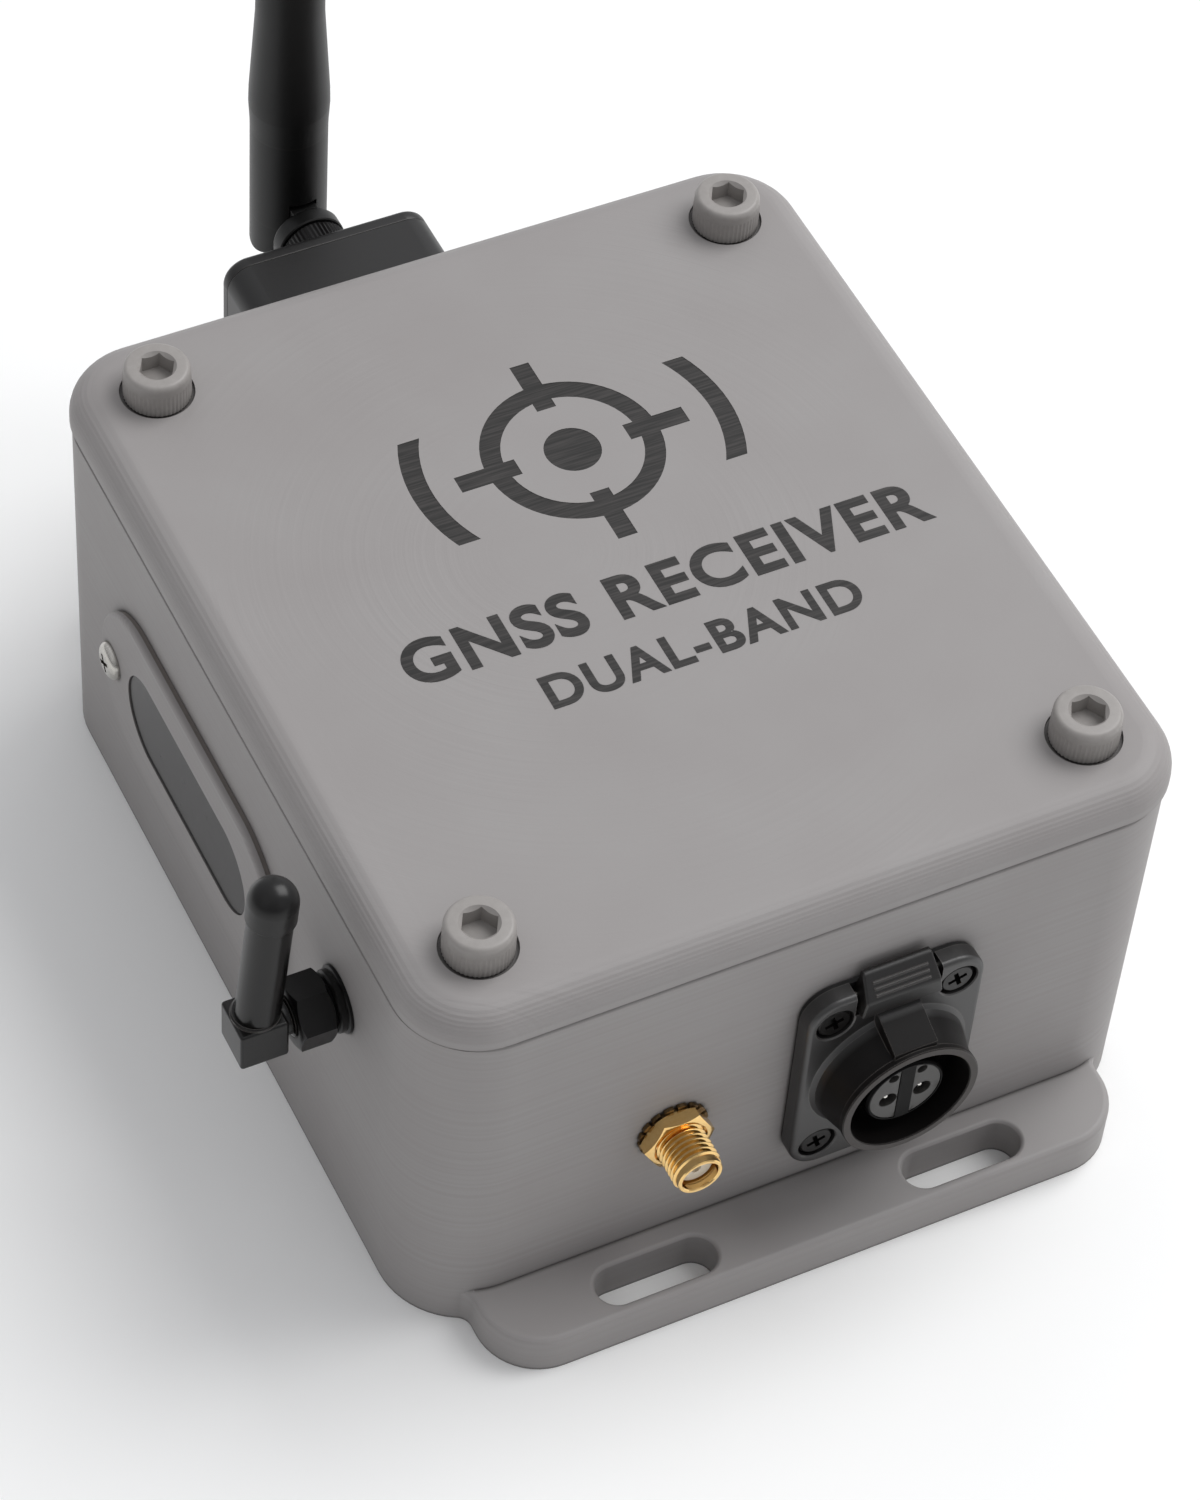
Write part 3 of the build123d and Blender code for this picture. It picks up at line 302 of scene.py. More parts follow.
def brushed_inlay():
    """Black acrylic rubbed along one line: long thin streaks of lighter grey."""
    made, tree, shader, in_mm = start_finish("rubbed_black_acrylic", 0.0, 0.5, 1.4)
    along = add(tree, "ShaderNodeMapping", {"Vector": in_mm, "Rotation": (0, 0, math.radians(8)),
                                            "Scale": (0.12, 3.2, 1.0)})
    streaks = add(tree, "ShaderNodeTexNoise", {"Vector": along.outputs["Vector"], "Scale": 1.0, "Detail": 3.0})
    faint = add(tree, "ShaderNodeMapRange", {"Value": streaks.outputs["Fac"], "From Min": 0.4, "From Max": 0.75})
    colour = add(tree, "ShaderNodeMix", {"Factor": faint.outputs["Result"], "A": linear("#1f1e1d"),
                                         "B": linear("#3f3c3b")}, data_type="RGBA")
    tree.links.new(colour.outputs["Result"], shader.inputs["Base Color"])
    bump = add(tree, "ShaderNodeBump", {"Height": streaks.outputs["Fac"], "Strength": 0.35, "Distance": 0.00003})
    tree.links.new(bump.outputs["Normal"], shader.inputs["Normal"])
    return made


rubbed_acrylic = brushed_inlay()
show("target_inlay", from_frame("lid_emblem"), rubbed_acrylic, "enclosure", "inlay_black", "lid_emblem")

letter_lift = 0.04


def lettering(name, words, middle, base_line, capital, stroke):
    """One line of words as a thin mesh on the lid: capital height in millimetres, extra stroke as a share of it."""
    curve = bpy.data.curves.new(name + "_outline", "FONT")
    curve.body = words
    curve.align_x = "CENTER"
    curve.size = capital / 0.72
    curve.offset = stroke * curve.size
    curve.space_character = 1.1
    curve.extrude = letter_lift
    curve.resolution_u = 8
    outline = bpy.data.objects.new(name + "_outline", curve)
    bpy.context.scene.collection.objects.link(outline)
    bpy.context.view_layer.update()
    shape = bmesh.new()
    shape.from_mesh(outline.to_mesh())
    bpy.data.objects.remove(outline)
    bpy.data.curves.remove(curve)
    bmesh.ops.remove_doubles(shape, verts=shape.verts, dist=1e-4)
    bmesh.ops.recalc_face_normals(shape, faces=shape.faces)
    place = Matrix.Translation((middle * MM, base_line * MM, lid_high.z)) @ Matrix.Scale(MM, 4)
    move(shape, place)
    return show(name, shape, rubbed_acrylic, "enclosure", "inlay_black")


lettering("words_upper", "GNSS RECEIVER", 4.5, -9.2, 6.6, 0.03)
lettering("words_lower", "DUAL-BAND", 4.5, -18.6, 5.0, 0.026)


# ---- Lid bolts ----
# Four M5 socket-head bolts, painted with the case. Each head has a knurled side, a rounded crown and
# a hexagon socket with a bevelled mouth, and draws the lid onto a brass insert.

head_radius = 4.25
head_height = 5.0
crown_radius = 3.55
crown_height = 0.85
knurl_top = 3.3
knurl_depth = 0.12
socket_across = 4.0
socket_depth = 2.5
knurl_columns = 96


def turned(profile, facets=64, closed=False):
    """A shape turned about z from (radius, height) points in millimetres, closed where it meets the axis."""
    shape = bmesh.new()
    points = [shape.verts.new((radius, 0, height)) for radius, height in profile]
    pairs = list(zip(points, points[1:])) + ([(points[-1], points[0])] if closed else [])
    edges = [shape.edges.new(pair) for pair in pairs]
    bmesh.ops.spin(shape, geom=points + edges, cent=(0, 0, 0), axis=(0, 0, 1), angle=2 * math.pi, steps=facets,
                   use_merge=True)
    bmesh.ops.remove_doubles(shape, verts=shape.verts, dist=1e-4)
    bmesh.ops.recalc_face_normals(shape, faces=shape.faces)
    return shape


def rod(radius, low, high, facets=64):
    return turned([(0, low), (radius, low), (radius, high), (0, high)], facets)


def prism(across, low, high):
    """A closed hexagonal bar, that wide across its flats, with a flat to each side in x."""
    return turned([(0, low), (across / math.sqrt(3), low), (across / math.sqrt(3), high), (0, high)], 6)


def carve(body, tool, how="DIFFERENCE"):
    """Cuts one closed shape out of another, or keeps what they share. Both are used up."""
    blanks = []
    for shape in (body, tool):
        mesh = bpy.data.meshes.new("blank")
        shape.to_mesh(mesh)
        shape.free()
        blanks.append(bpy.data.objects.new("blank", mesh))
        bpy.context.scene.collection.objects.link(blanks[-1])
    cut = blanks[0].modifiers.new("cut", "BOOLEAN")
    cut.object, cut.operation, cut.solver = blanks[1], how, "EXACT"
    result = bmesh.new()
    result.from_object(blanks[0], bpy.context.evaluated_depsgraph_get())
    for blank in blanks:
        mesh = blank.data
        bpy.data.objects.remove(blank)
        bpy.data.meshes.remove(mesh)
    return result


def stamp(target, shape, matrix=Matrix.Identity(4)):
    """Adds a copy of a shape to another, moved by a matrix."""
    mesh = bpy.data.meshes.new("stamp")
    shape.to_mesh(mesh)
    mesh.transform(matrix)
    target.from_mesh(mesh)
    bpy.data.meshes.remove(mesh)


def gather(*shapes):
    """All of these shapes in one. They are used up."""
    result = bmesh.new()
    for shape in shapes:
        stamp(result, shape)
        shape.free()
    return result


def place_at(origin, across, out):
    """The matrix from a shape in millimetres, with z outwards and x along across, to its place in metres."""
    x, z = Vector(across).normalized(), Vector(out).normalized()
    return Matrix.Translation(origin) @ Matrix((x, z.cross(x), z)).transposed().to_4x4() @ Matrix.Scale(MM, 4)


crown_start = head_height - crown_height
profile = [(0, 0), (head_radius - 0.3, 0), (head_radius, 0.3), (head_radius, knurl_top),
           (head_radius - 0.06, knurl_top + 0.1)]
profile += [(crown_radius + (head_radius - 0.06 - crown_radius) * math.cos(math.radians(15 * i)),
             crown_start + crown_height * math.sin(math.radians(15 * i))) for i in range(7)]
head = turned(profile + [(0, head_height)], knurl_columns)
for vert in head.verts:
    column = round(math.atan2(vert.co.y, vert.co.x) / (2 * math.pi / knurl_columns))
    if 0.2 < vert.co.z < knurl_top + 0.01 and column % 2:
        vert.co.xy *= 1 - knurl_depth / head_radius
mouth = socket_across / math.sqrt(3)
head = carve(head, prism(socket_across, head_height - socket_depth, head_height + 1))
head = carve(head, turned([(0, head_height - 0.5), (mouth - 0.35, head_height - 0.5), (mouth + 0.25, head_height + 0.1),
                           (0, head_height + 0.1)]))
bolt_low, bolt_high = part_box("lid_screws")
bolts = bmesh.new()
for x in (bolt_low.x + head_radius * MM, bolt_high.x - head_radius * MM):
    for y in (bolt_low.y + head_radius * MM, bolt_high.y - head_radius * MM):
        stamp(bolts, head, place_at((x, y, bolt_high.z - head_height * MM), (1, 0, 0), (0, 0, 1)))
head.free()
painted_steel = grained("grey_painted_steel", "#9a9693", "#8c8885", 0.8, 0.01, 0.0, 0.42, 1.5)
show("lid_bolts", bolts, painted_steel, "enclosure", "screw_grey", "lid_screws", angle=28)

turned_brass = grained("turned_brass", "#b08d4e", "#9a7838", 0.3, 0.01, 1.0, 0.35)


def finish_node(finish, *nodes):
    """Gives CAD nodes that stay as they are their material."""
    for node in nodes:
        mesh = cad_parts[node].data
        mesh.materials.clear()
        mesh.materials.append(finish)


finish_node(turned_brass, "lid_inserts")


# ---- Coaxial jack ----
# A gold-plated brass bulkhead jack with a 1/4-36 thread, drawn against the wall by a thin hexagon nut
# over a toothed spring-steel washer. Its mouth shows the bare rim, the white insulator and the contact.

thread_pitch = 25.4 / 36
thread_crest = 3.175
thread_root = 2.8
jack_mouth = 2.35
jack_bore = 2.05
washer_depth = 0.5
washer_trim = 0.07
insulator_depth = 1.3
gold = grained("gold_plated_brass", "#fbd897", "#ecc077", 0.6, 0.004, 1.0, 0.16, spread=0.1)
toothed_steel = grained("blackened_spring_steel", "#7a6547", "#5c4a33", 0.3, 0.01, 1.0, 0.4)
jack_low, jack_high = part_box("gnss_jack")
wall_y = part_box("gnss_jack_washer")[1].y
jack_place = place_at(((jack_low.x + jack_high.x) / 2, wall_y, (jack_low.z + jack_high.z) / 2), (1, 0, 0), (0, -1, 0))


def screw_thread(low, high, steps=48):
    """A closed solid rod with a real helical thread between two heights."""
    shape = bmesh.new()
    tooth = [(thread_root, 0), (thread_root, 0.1), (thread_crest, 0.32), (thread_crest, 0.4), (thread_root, 0.62),
             (thread_root, thread_pitch)]
    points = [shape.verts.new((radius, 0, low - thread_pitch + height)) for radius, height in tooth]
    edges = [shape.edges.new(pair) for pair in zip(points, points[1:])]
    turns = math.ceil((high - low) / thread_pitch) + 2
    bmesh.ops.spin(shape, geom=points + edges, cent=(0, 0, 0), axis=(0, 0, 1), dvec=(0, 0, thread_pitch / steps),
                   angle=2 * math.pi * turns, steps=steps * turns)
    bmesh.ops.remove_doubles(shape, verts=shape.verts, dist=1e-3)
    for height, outward in ((low, -1), (high, 1)):
        geometry = shape.verts[:] + shape.edges[:] + shape.faces[:]
        bmesh.ops.bisect_plane(shape, geom=geometry, plane_co=(0, 0, height), plane_no=(0, 0, outward),
                               clear_outer=True)
        bmesh.ops.holes_fill(shape, edges=[e for e in shape.edges if e.is_boundary and
                                           all(abs(v.co.z - height) < 1e-4 for v in e.verts)], sides=0)
    bmesh.ops.recalc_face_normals(shape, faces=shape.faces)
    return shape


def hex_nut(across, low, high, bore):
    """A hexagon nut whose corners are turned down at both faces."""
    corner = across / math.sqrt(3) + 0.05
    face = across / 2 * 0.98
    blank = turned([(0, low), (face, low), (corner, low + 0.42), (corner, high - 0.42), (face, high), (0, high)])
    nut = carve(prism(across, low, high), blank, "INTERSECT")
    return carve(nut, turned([(0, low - 1), (bore, low - 1), (bore, high - 0.3), (bore + 0.4, high + 0.1),
                              (0, high + 0.1)]))


reach = (wall_y - jack_low.y) / MM
lip_start = reach - 0.8
mouth_floor = reach - 2.6
thread = carve(screw_thread(1.0, lip_start), turned([(0, 0), (jack_bore, 0), (jack_bore, mouth_floor),
                                                     (jack_mouth, mouth_floor), (jack_mouth, reach), (0, reach)]))
lip = turned([(jack_mouth, lip_start - 0.2), (jack_mouth, reach - 0.12), (jack_mouth + 0.12, reach),
              (2.78, reach), (2.9, reach - 0.12), (2.9, lip_start - 0.2)], closed=True)
jack = gather(thread, lip, turned([(jack_bore, 1.0), (jack_bore, 1.01), (thread_root, 1.01), (thread_root, -5.0),
                                   (jack_bore, -5.0)], closed=True))
move(jack, jack_place)
show("gnss_jack_thread", jack, gold, "enclosure", "gold_plate", "gnss_jack")
nut = hex_nut(8.0, washer_depth, washer_depth + 2.0, 3.2)
move(nut, jack_place)
show("gnss_hex_nut", nut, gold, "enclosure", "gold_plate", "gnss_jack_nut")
washer = from_frame("gnss_jack_washer")
for spot in washer.verts:
    for axis in (0, 2):
        spot.co[axis] += (jack_place.translation[axis] - spot.co[axis]) * washer_trim
show("toothed_washer", washer, toothed_steel, "enclosure", "dark_steel", "gnss_jack_washer")
fluoropolymer = grained("white_fluoropolymer", "#e4ddd0", "#d8d0c2", 0.5, 0.004, 0.0, 0.5, 1.38)
insulators = from_frame("jack_insulators")
insulator_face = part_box("jack_insulators")[0].y
for spot in insulators.verts:
    if spot.co.y < insulator_face + 1e-5:
        spot.co.y = jack_low.y + insulator_depth * MM
show("white_jack_insulators", insulators, fluoropolymer, "enclosure", "white_insulator", "jack_insulators")
finish_node(gold, "jack_contacts")


# ---- Power and data connector ----
# A black nylon flange and barrel moulded in one, held by four black cross-head screws over a rubber
# seal. A rib along the top of the barrel houses the latch's arm, and a bright worn rim rings the mouth.

flange_width = 23.6
flange_height = 32.0
flange_corner = 4.2
flange_face = 3.0
barrel_base = 10.0
barrel_front = 9.1
socket_bore = 8.0
screw_spread_x = 8.2
screw_spread_z = 11.9
screw_head = 2.2
tab_half = 5.4
shell_low, shell_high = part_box("power_shell")
barrel_reach = (wall_y - shell_low.y) / MM
socket_centre = ((shell_low.x + shell_high.x) / 2, wall_y, (shell_low.z + shell_high.z) / 2)
socket_place = place_at(socket_centre, (1, 0, 0), (0, -1, 0))


def moulded(name, light, dark, roughness, wear, ior=1.5):
    """Black plastic from a spark-eroded mould: fine even grain, with edges rubbed a little greyer."""
    made = grained(name, light, dark, 0.22, 0.012, 0.0, roughness, ior)
    tree = made.node_tree
    shader = tree.nodes["Principled BSDF"]
    body_colour = shader.inputs["Base Color"].links[0].from_socket
    turned_normal = add(tree, "ShaderNodeBevel", {"Radius": 0.0002}, samples=4).outputs["Normal"]
    face_normal = add(tree, "ShaderNodeNewGeometry").outputs["Normal"]
    likeness = add(tree, "ShaderNodeVectorMath", {0: turned_normal, 1: face_normal}, operation="DOT_PRODUCT")
    worn = add(tree, "ShaderNodeMapRange", {"Value": likeness.outputs["Value"], "From Min": 0.99, "From Max": 0.9,
                                            "To Max": wear})
    edge = add(tree, "ShaderNodeMix", {"Factor": worn.outputs["Result"], "A": body_colour, "B": linear("#6a6663")},
               data_type="RGBA")
    tree.links.new(edge.outputs["Result"], shader.inputs["Base Color"])
    return made


def bar(low, high):
    """A closed box between two corners."""
    shape = bmesh.new()
    bmesh.ops.create_cube(shape, size=1)
    bmesh.ops.scale(shape, vec=[b - a for a, b in zip(low, high)], verts=shape.verts)
    bmesh.ops.translate(shape, vec=[(a + b) / 2 for a, b in zip(low, high)], verts=shape.verts)
    return shape


def rounded(width, height, low, high, corner, rim=0.0):
    """A plate with round corners and a rounded upper rim."""
    shape = bar((-width / 2, -height / 2, low), (width / 2, height / 2, high))
    upright = [e for e in shape.edges if abs(e.verts[0].co.z - e.verts[1].co.z) > 1e-4]
    bmesh.ops.bevel(shape, geom=upright, offset=corner, segments=14, profile=0.5, affect="EDGES", material=-1)
    if rim:
        upper = [e for e in shape.edges if all(v.co.z > high - 1e-4 for v in e.verts)]
        bmesh.ops.bevel(shape, geom=upper, offset=rim, segments=4, profile=0.5, affect="EDGES", material=-1)
    return shape


def soften(shape, width, angle=35, segments=2):
    """Rounds every edge that is sharper than an angle."""
    sharp = [e for e in shape.edges if len(e.link_faces) == 2 and e.calc_face_angle(0) > math.radians(angle)]
    bmesh.ops.bevel(shape, geom=sharp, offset=width, segments=segments, profile=0.5, affect="EDGES", material=-1,
                    clamp_overlap=True)
    return shape


def side_cut(points, width):
    """A closed bar across x with a side outline of (distance out, height) points."""
    shape = bmesh.new()
    outline = shape.faces.new([shape.verts.new((-width / 2, height, out)) for out, height in points])
    grown = bmesh.ops.extrude_face_region(shape, geom=[outline])["geom"]
    bmesh.ops.translate(shape, vec=(width, 0, 0), verts=[v for v in grown if isinstance(v, bmesh.types.BMVert)])
    bmesh.ops.recalc_face_normals(shape, faces=shape.faces)
    return shape


screw_places = [(sx * screw_spread_x, sy * screw_spread_z) for sx in (-1, 1) for sy in (-1, 1)]
flange = rounded(flange_width, flange_height, 0.6, flange_face, flange_corner, 0.7)
notch = bar((-tab_half - 0.3, 12.4, 0), (tab_half + 0.3, 17, flange_face + 1))
flange = carve(flange, notch)
for x, y in screw_places:
    well = turned([(0, 1.4), (screw_head + 0.3, 1.4), (screw_head + 0.3, flange_face - 0.15),
                   (screw_head + 0.55, flange_face + 0.1), (0, flange_face + 0.1)], 40)
    bmesh.ops.translate(well, vec=(x, y, 0), verts=well.verts)
    flange = carve(flange, well)
flange = carve(flange, rod(socket_bore, 0, 5))
slope = (barrel_front - barrel_base) / (barrel_reach - flange_face)
barrel = turned([(socket_bore, -8.0), (socket_bore, barrel_reach - 0.15), (socket_bore + 0.12, barrel_reach),
                 (barrel_front - 0.15, barrel_reach),
                 (barrel_front, barrel_reach - 0.15), (barrel_front - 0.02, barrel_reach - 0.9),
                 (barrel_front - 0.18, barrel_reach - 1.0), (barrel_front - 0.18 - 1.2 * slope, barrel_reach - 2.2),
                 (barrel_base, flange_face + 0.5), (barrel_base + 0.5, flange_face), (barrel_base + 0.5, 0.7),
                 (9.5, 0.7), (9.5, -8.0)], 96, closed=True)
rib = side_cut([(flange_face - 0.3, 8.6), (flange_face - 0.3, 12.0), (barrel_reach - 0.7, 9.55),
                (barrel_reach - 0.7, 8.6)], 5.8)
rib = soften(rib, 0.18)
shell = gather(flange, barrel, rib)
move(shell, socket_place)
black_nylon = moulded("black_glass_filled_nylon", "#151312", "#0f0d0d", 0.44, 0.55)
tree = black_nylon.node_tree
shader = tree.nodes["Principled BSDF"]
height = add(tree, "ShaderNodeSeparateXYZ", {"Vector": add(tree, "ShaderNodeTexCoord").outputs["Object"]})
rim = add(tree, "ShaderNodeMapRange", {"Value": height.outputs["Y"], "From Min": shell_low.y + 0.00006,
                                       "From Max": shell_low.y + 0.00003, "To Max": 0.75})
rubbed = add(tree, "ShaderNodeMix", {"Factor": rim.outputs["Result"], "B": linear("#4e4a48"),
                                     "A": shader.inputs["Base Color"].links[0].from_socket}, data_type="RGBA")
tree.links.new(rubbed.outputs["Result"], shader.inputs["Base Color"])
# The barrel reflects less than the flange, so it looks darker.
sheen = add(tree, "ShaderNodeMapRange", {"Value": height.outputs["Y"], "From Min": wall_y - (flange_face + 1.6) * MM,
                                         "From Max": wall_y - flange_face * MM, "To Min": 0.14, "To Max": 0.95})
tree.links.new(sheen.outputs["Result"], shader.inputs["Specular IOR Level"])
show("power_shell_moulding", shell, black_nylon, "enclosure", "black_shell", "power_shell", angle=28)
show("power_flange_seal", from_frame("power_seal"), neoprene, "enclosure", "seal_rubber", "power_seal")

# The four screws have round countersunk heads with a cross recess, in black oxide.
screw_top = 2.7
screw_blank = turned([(0, 1.4), (screw_head, 1.4), (screw_head, screw_top - 0.25), (screw_head - 0.25, screw_top),
                      (0, screw_top)], 40)
for turn in (0.3, 0.3 + math.pi / 2):
    slit = bar((-1.25, -0.3, screw_top - 0.9), (1.25, 0.3, screw_top + 1))
    bmesh.ops.rotate(slit, cent=(0, 0, 0), matrix=Matrix.Rotation(turn, 3, "Z"), verts=slit.verts)
    screw_blank = carve(screw_blank, slit)
flange_screws = bmesh.new()
for x, y in screw_places:
    stamp(flange_screws, screw_blank, socket_place @ Matrix.Translation((x, y, 0)))
screw_blank.free()
black_oxide = grained("black_oxide_steel", "#1d1b1a", "#121110", 0.5, 0.005, 0.4, 0.34)
show("power_flange_screws", flange_screws, black_oxide, "enclosure", "black_screw", "power_screws", angle=28)

# Inside, a black nylon pillar holds two half-round carriers of grey nylon, each with a small and a
# large hole, and a tinned contact stands back in the large one.
carrier_radius = 4.75
carrier_gap = 0.98
pillar_face = barrel_reach - 1.4
contact_across = 2.3
contact_high = -0.5
signal_across = 1.9
signal_high = 3.5
base_plug = rod(socket_bore - 0.05, -9.0, 0.2)
pillar = turned([(0, 0), (5.2, 0), (5.2, pillar_face - 0.3), (4.95, pillar_face), (0, pillar_face)])
for side in (-1, 1):
    moon = rod(carrier_radius + 0.03, pillar_face - 3.5, pillar_face + 1)
    keep = bar((carrier_gap - 0.02 if side > 0 else -9, -9, -9), (9 if side > 0 else 0.02 - carrier_gap, 9, 19))
    pillar = carve(pillar, carve(moon, keep, "INTERSECT"))
carriers = bmesh.new()
wells = bmesh.new()
pins = bmesh.new()
for side in (-1, 1):
    moon = rod(carrier_radius, pillar_face - 3.5, pillar_face - 0.05)
    half_space = bar((carrier_gap if side > 0 else -9, -9, -9), (9 if side > 0 else -carrier_gap, 9, 19))
    moon = carve(moon, half_space, "INTERSECT")
    moon = soften(moon, 0.12)
    for across, high, hole, pin, back_off in ((contact_across, contact_high, 1.12, 0.42, 0.45),
                                              (signal_across, signal_high, 0.62, 0.26, 0.9)):
        floor_disc = rod(hole - 0.02, pillar_face - 3.4, pillar_face - 1.1, 32)
        stamp(wells, floor_disc, socket_place @ Matrix.Translation((side * across, high, 0)))
        floor_disc.free()
        drill = turned([(0, -1), (hole, -1), (hole, pillar_face - 0.2), (hole + 0.15, pillar_face + 0.1),
                        (0, pillar_face + 0.1)], 32)
        bmesh.ops.translate(drill, vec=(side * across, high, 0), verts=drill.verts)
        moon = carve(moon, drill)
        tip = pillar_face - back_off
        contact = turned([(0, -11), (pin, -11), (pin, tip - pin)] +
                         [(pin * math.cos(math.radians(18 * i)), tip - pin + pin * math.sin(math.radians(18 * i)))
                          for i in range(1, 5)] + [(0, tip)], 24)
        stamp(pins, contact, socket_place @ Matrix.Translation((side * across, high, 0)))
        contact.free()
    stamp(carriers, moon, socket_place)
    moon.free()
insert = gather(base_plug, pillar)
move(insert, socket_place)
insert = gather(insert, wells)
insulating_nylon = moulded("black_nylon_insulator", "#0d0c0c", "#090808", 0.4, 0.0, 1.15)
show("power_insulator", insert, insulating_nylon, "enclosure", "black_insulator", "power_insert")
grey_nylon = grained("grey_nylon", "#393735", "#302f2d", 0.4, 0.01, 0.0, 0.36, 1.5)
show("contact_carrier_halves", carriers, grey_nylon, "enclosure", "carrier_grey", "contact_carriers")
tinned = grained("tinned_contact", "#e2e0dc", "#cfccc6", 0.4, 0.003, 1.0, 0.16)
show("power_contact_pins", pins, tinned, "enclosure", "contact_metal", "power_contacts")


# ---- Latch ----
# A black nylon rocker in the flange's notch. Its ribbed tab leans outwards, and pressing the tab to
# the wall turns it on a steel pin, so that the arm inside the rib lifts its tooth off the plug.

tab_back = 0.82
latch_tab = side_cut([(tab_back, 18.2), (1.7, 18.2), (4.1, 15.4), (4.1, 12.7), (tab_back, 12.7)], 2 * tab_half)
for side in (-1, 1):
    trim = side_cut([(-1, 19), (6, 19), (6, 12), (-1, 12)], 4)
    bmesh.ops.rotate(trim, cent=(0, 12.7, 0), matrix=Matrix.Rotation(side * math.atan2(0.8, 5.5), 3, "Z"),
                     verts=trim.verts)
    bmesh.ops.translate(trim, vec=(side * (tab_half + 2.02), 0, 0), verts=trim.verts)
    latch_tab = carve(latch_tab, trim)
latch_tab = soften(latch_tab, 0.35, segments=3)
grips = bmesh.new()
for step in range(3):
    height = 15.95 + 0.62 * step
    out = 4.1 - (height - 15.4) * 2.4 / 2.8
    ridge = rod(0.17, -3.6, 3.6, 12)
    stamp(grips, ridge, Matrix.Translation((0, height, out)) @ Matrix.Rotation(math.pi / 2, 4, "Y"))
    ridge.free()
latch = gather(latch_tab, grips)
move(latch, socket_place)
arm = side_cut([(1.1, 8.3), (1.1, 13.2), (1.9, 13.2), (1.9, 9.1), (5.3, 9.0), (5.3, 7.6), (4.4, 8.3)], 3.2)
move(arm, socket_place)
latch_nylon = moulded("black_nylon_latch", "#181615", "#100e0e", 0.4, 0.6)
show("latch_rocker", gather(latch, arm), latch_nylon, "latch", "latch_black", "latch_lever", angle=28)
bright_zinc = grained("bright_zinc_steel", "#c9c7c2", "#b4b1ab", 0.4, 0.004, 1.0, 0.26)
finish_node(bright_zinc, "latch_pin", "status_screws", "board_screws", "whip_hinge_pin")
spring_wire = grained("drawn_spring_wire", "#b8b6b2", "#a3a09b", 0.2, 0.004, 1.0, 0.3)
finish_node(spring_wire, "latch_spring")


# ---- Status window ----
# A printed plate with round ends, screwed over a rubber seal, frames a smoked polycarbonate lens.
# Its top layer is rubbed smooth, and two pan-head screws sit at its ends.

plate_low, plate_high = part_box("window_bezel")
left_y = (plate_low.y + plate_high.y) / 2
left_z = (plate_low.z + plate_high.z) / 2
left_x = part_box("window_seal")[1].x
window_place = place_at((left_x, left_y, left_z), (0, -1, 0), (-1, 0, 0))
plate_out = (left_x - plate_low.x) / MM
show("window_plate", from_frame("window_bezel"), printed_asa, "enclosure", "case_grey", "window_bezel")
# Painted shade: the seal is a real part, but its grey is set to the tone of the soft shadow line round the plate, so
# its visible edge stands in for that shadow.
shadow_toned_silicone = grained("shadow_toned_silicone_sheet", "#7d7672", "#6f6965", 0.5, 0.02, 0.0, 0.7, 1.41)
show("window_seal_sheet", from_frame("window_seal"), shadow_toned_silicone, "enclosure", "seal_rubber", "window_seal")
smoked = grained("smoked_polycarbonate", "#262322", "#201e1d", 1.2, 0.004, 0.0, 0.26, 1.36, spread=0.06)
show("window_pane", from_frame("window_lens"), smoked, "enclosure", "lens_smoke", "window_lens")

pan_top = plate_out + 1.2
pan = turned([(0, plate_out), (2.55, plate_out)] +
             [(1.15 + 1.4 * math.cos(math.radians(15 * i)), plate_out + 0.25 + 0.95 * math.sin(math.radians(15 * i)))
              for i in range(7)] + [(0, pan_top)], 48)
for turn in (0.5, 0.5 + math.pi / 2):
    slit = bar((-1.3, -0.28, pan_top - 0.75), (1.3, 0.28, pan_top + 1))
    bmesh.ops.rotate(slit, cent=(0, 0, 0), matrix=Matrix.Rotation(turn, 3, "Z"), verts=slit.verts)
    pan = carve(pan, slit)
pan_screws = bmesh.new()
for side in (-1, 1):
    stamp(pan_screws, pan, window_place @ Matrix.Translation((side * 23.6, 0, 0)))
pan.free()
show("window_pan_screws", pan_screws, bright_zinc, "enclosure", "screw_steel", "window_screws", angle=28)


# ---- Stub antenna ----
# A right-angle stub: a black-chromate coupling nut on the bulkhead jack, a small square elbow block,
# a satin black tube that leans slightly to the box, and a domed glossy cap over its end.

nut_low, nut_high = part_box("stub_coupling_nut")
stub_origin = (left_x, (nut_low.y + nut_high.y) / 2, (nut_low.z + nut_high.z) / 2)
stub_place = place_at(stub_origin, (0, -1, 0), (-1, 0, 0))
nut_start, nut_end = (left_x - nut_high.x) / MM, (left_x - nut_low.x) / MM
black_chromate = grained("black_chromate_brass", "#141313", "#0d0c0c", 0.5, 0.006, 0.0, 0.3, 1.3)
flange_nut = turned([(3.3, 0), (4.3, 0), (4.3, 0.35), (4.15, 0.5), (3.95, 0.55), (3.95, 1.25), (3.7, 1.5), (3.3, 1.5)],
                    64, closed=True)
move(flange_nut, stub_place)
finish_node(black_chromate, "stub_jack", "whip_jack")
show("stub_ring_nut", flange_nut, black_chromate, "enclosure", "nut_black", "stub_jack_nut")
coupling = hex_nut(8.0, nut_start, nut_end, 2.56)
bmesh.ops.rotate(coupling, cent=(0, 0, 0), matrix=Matrix.Rotation(math.radians(12), 3, "Z"), verts=coupling.verts)
move(coupling, stub_place)
show("stub_hex_coupling", coupling, black_chromate, "enclosure", "nut_black", "stub_coupling_nut")

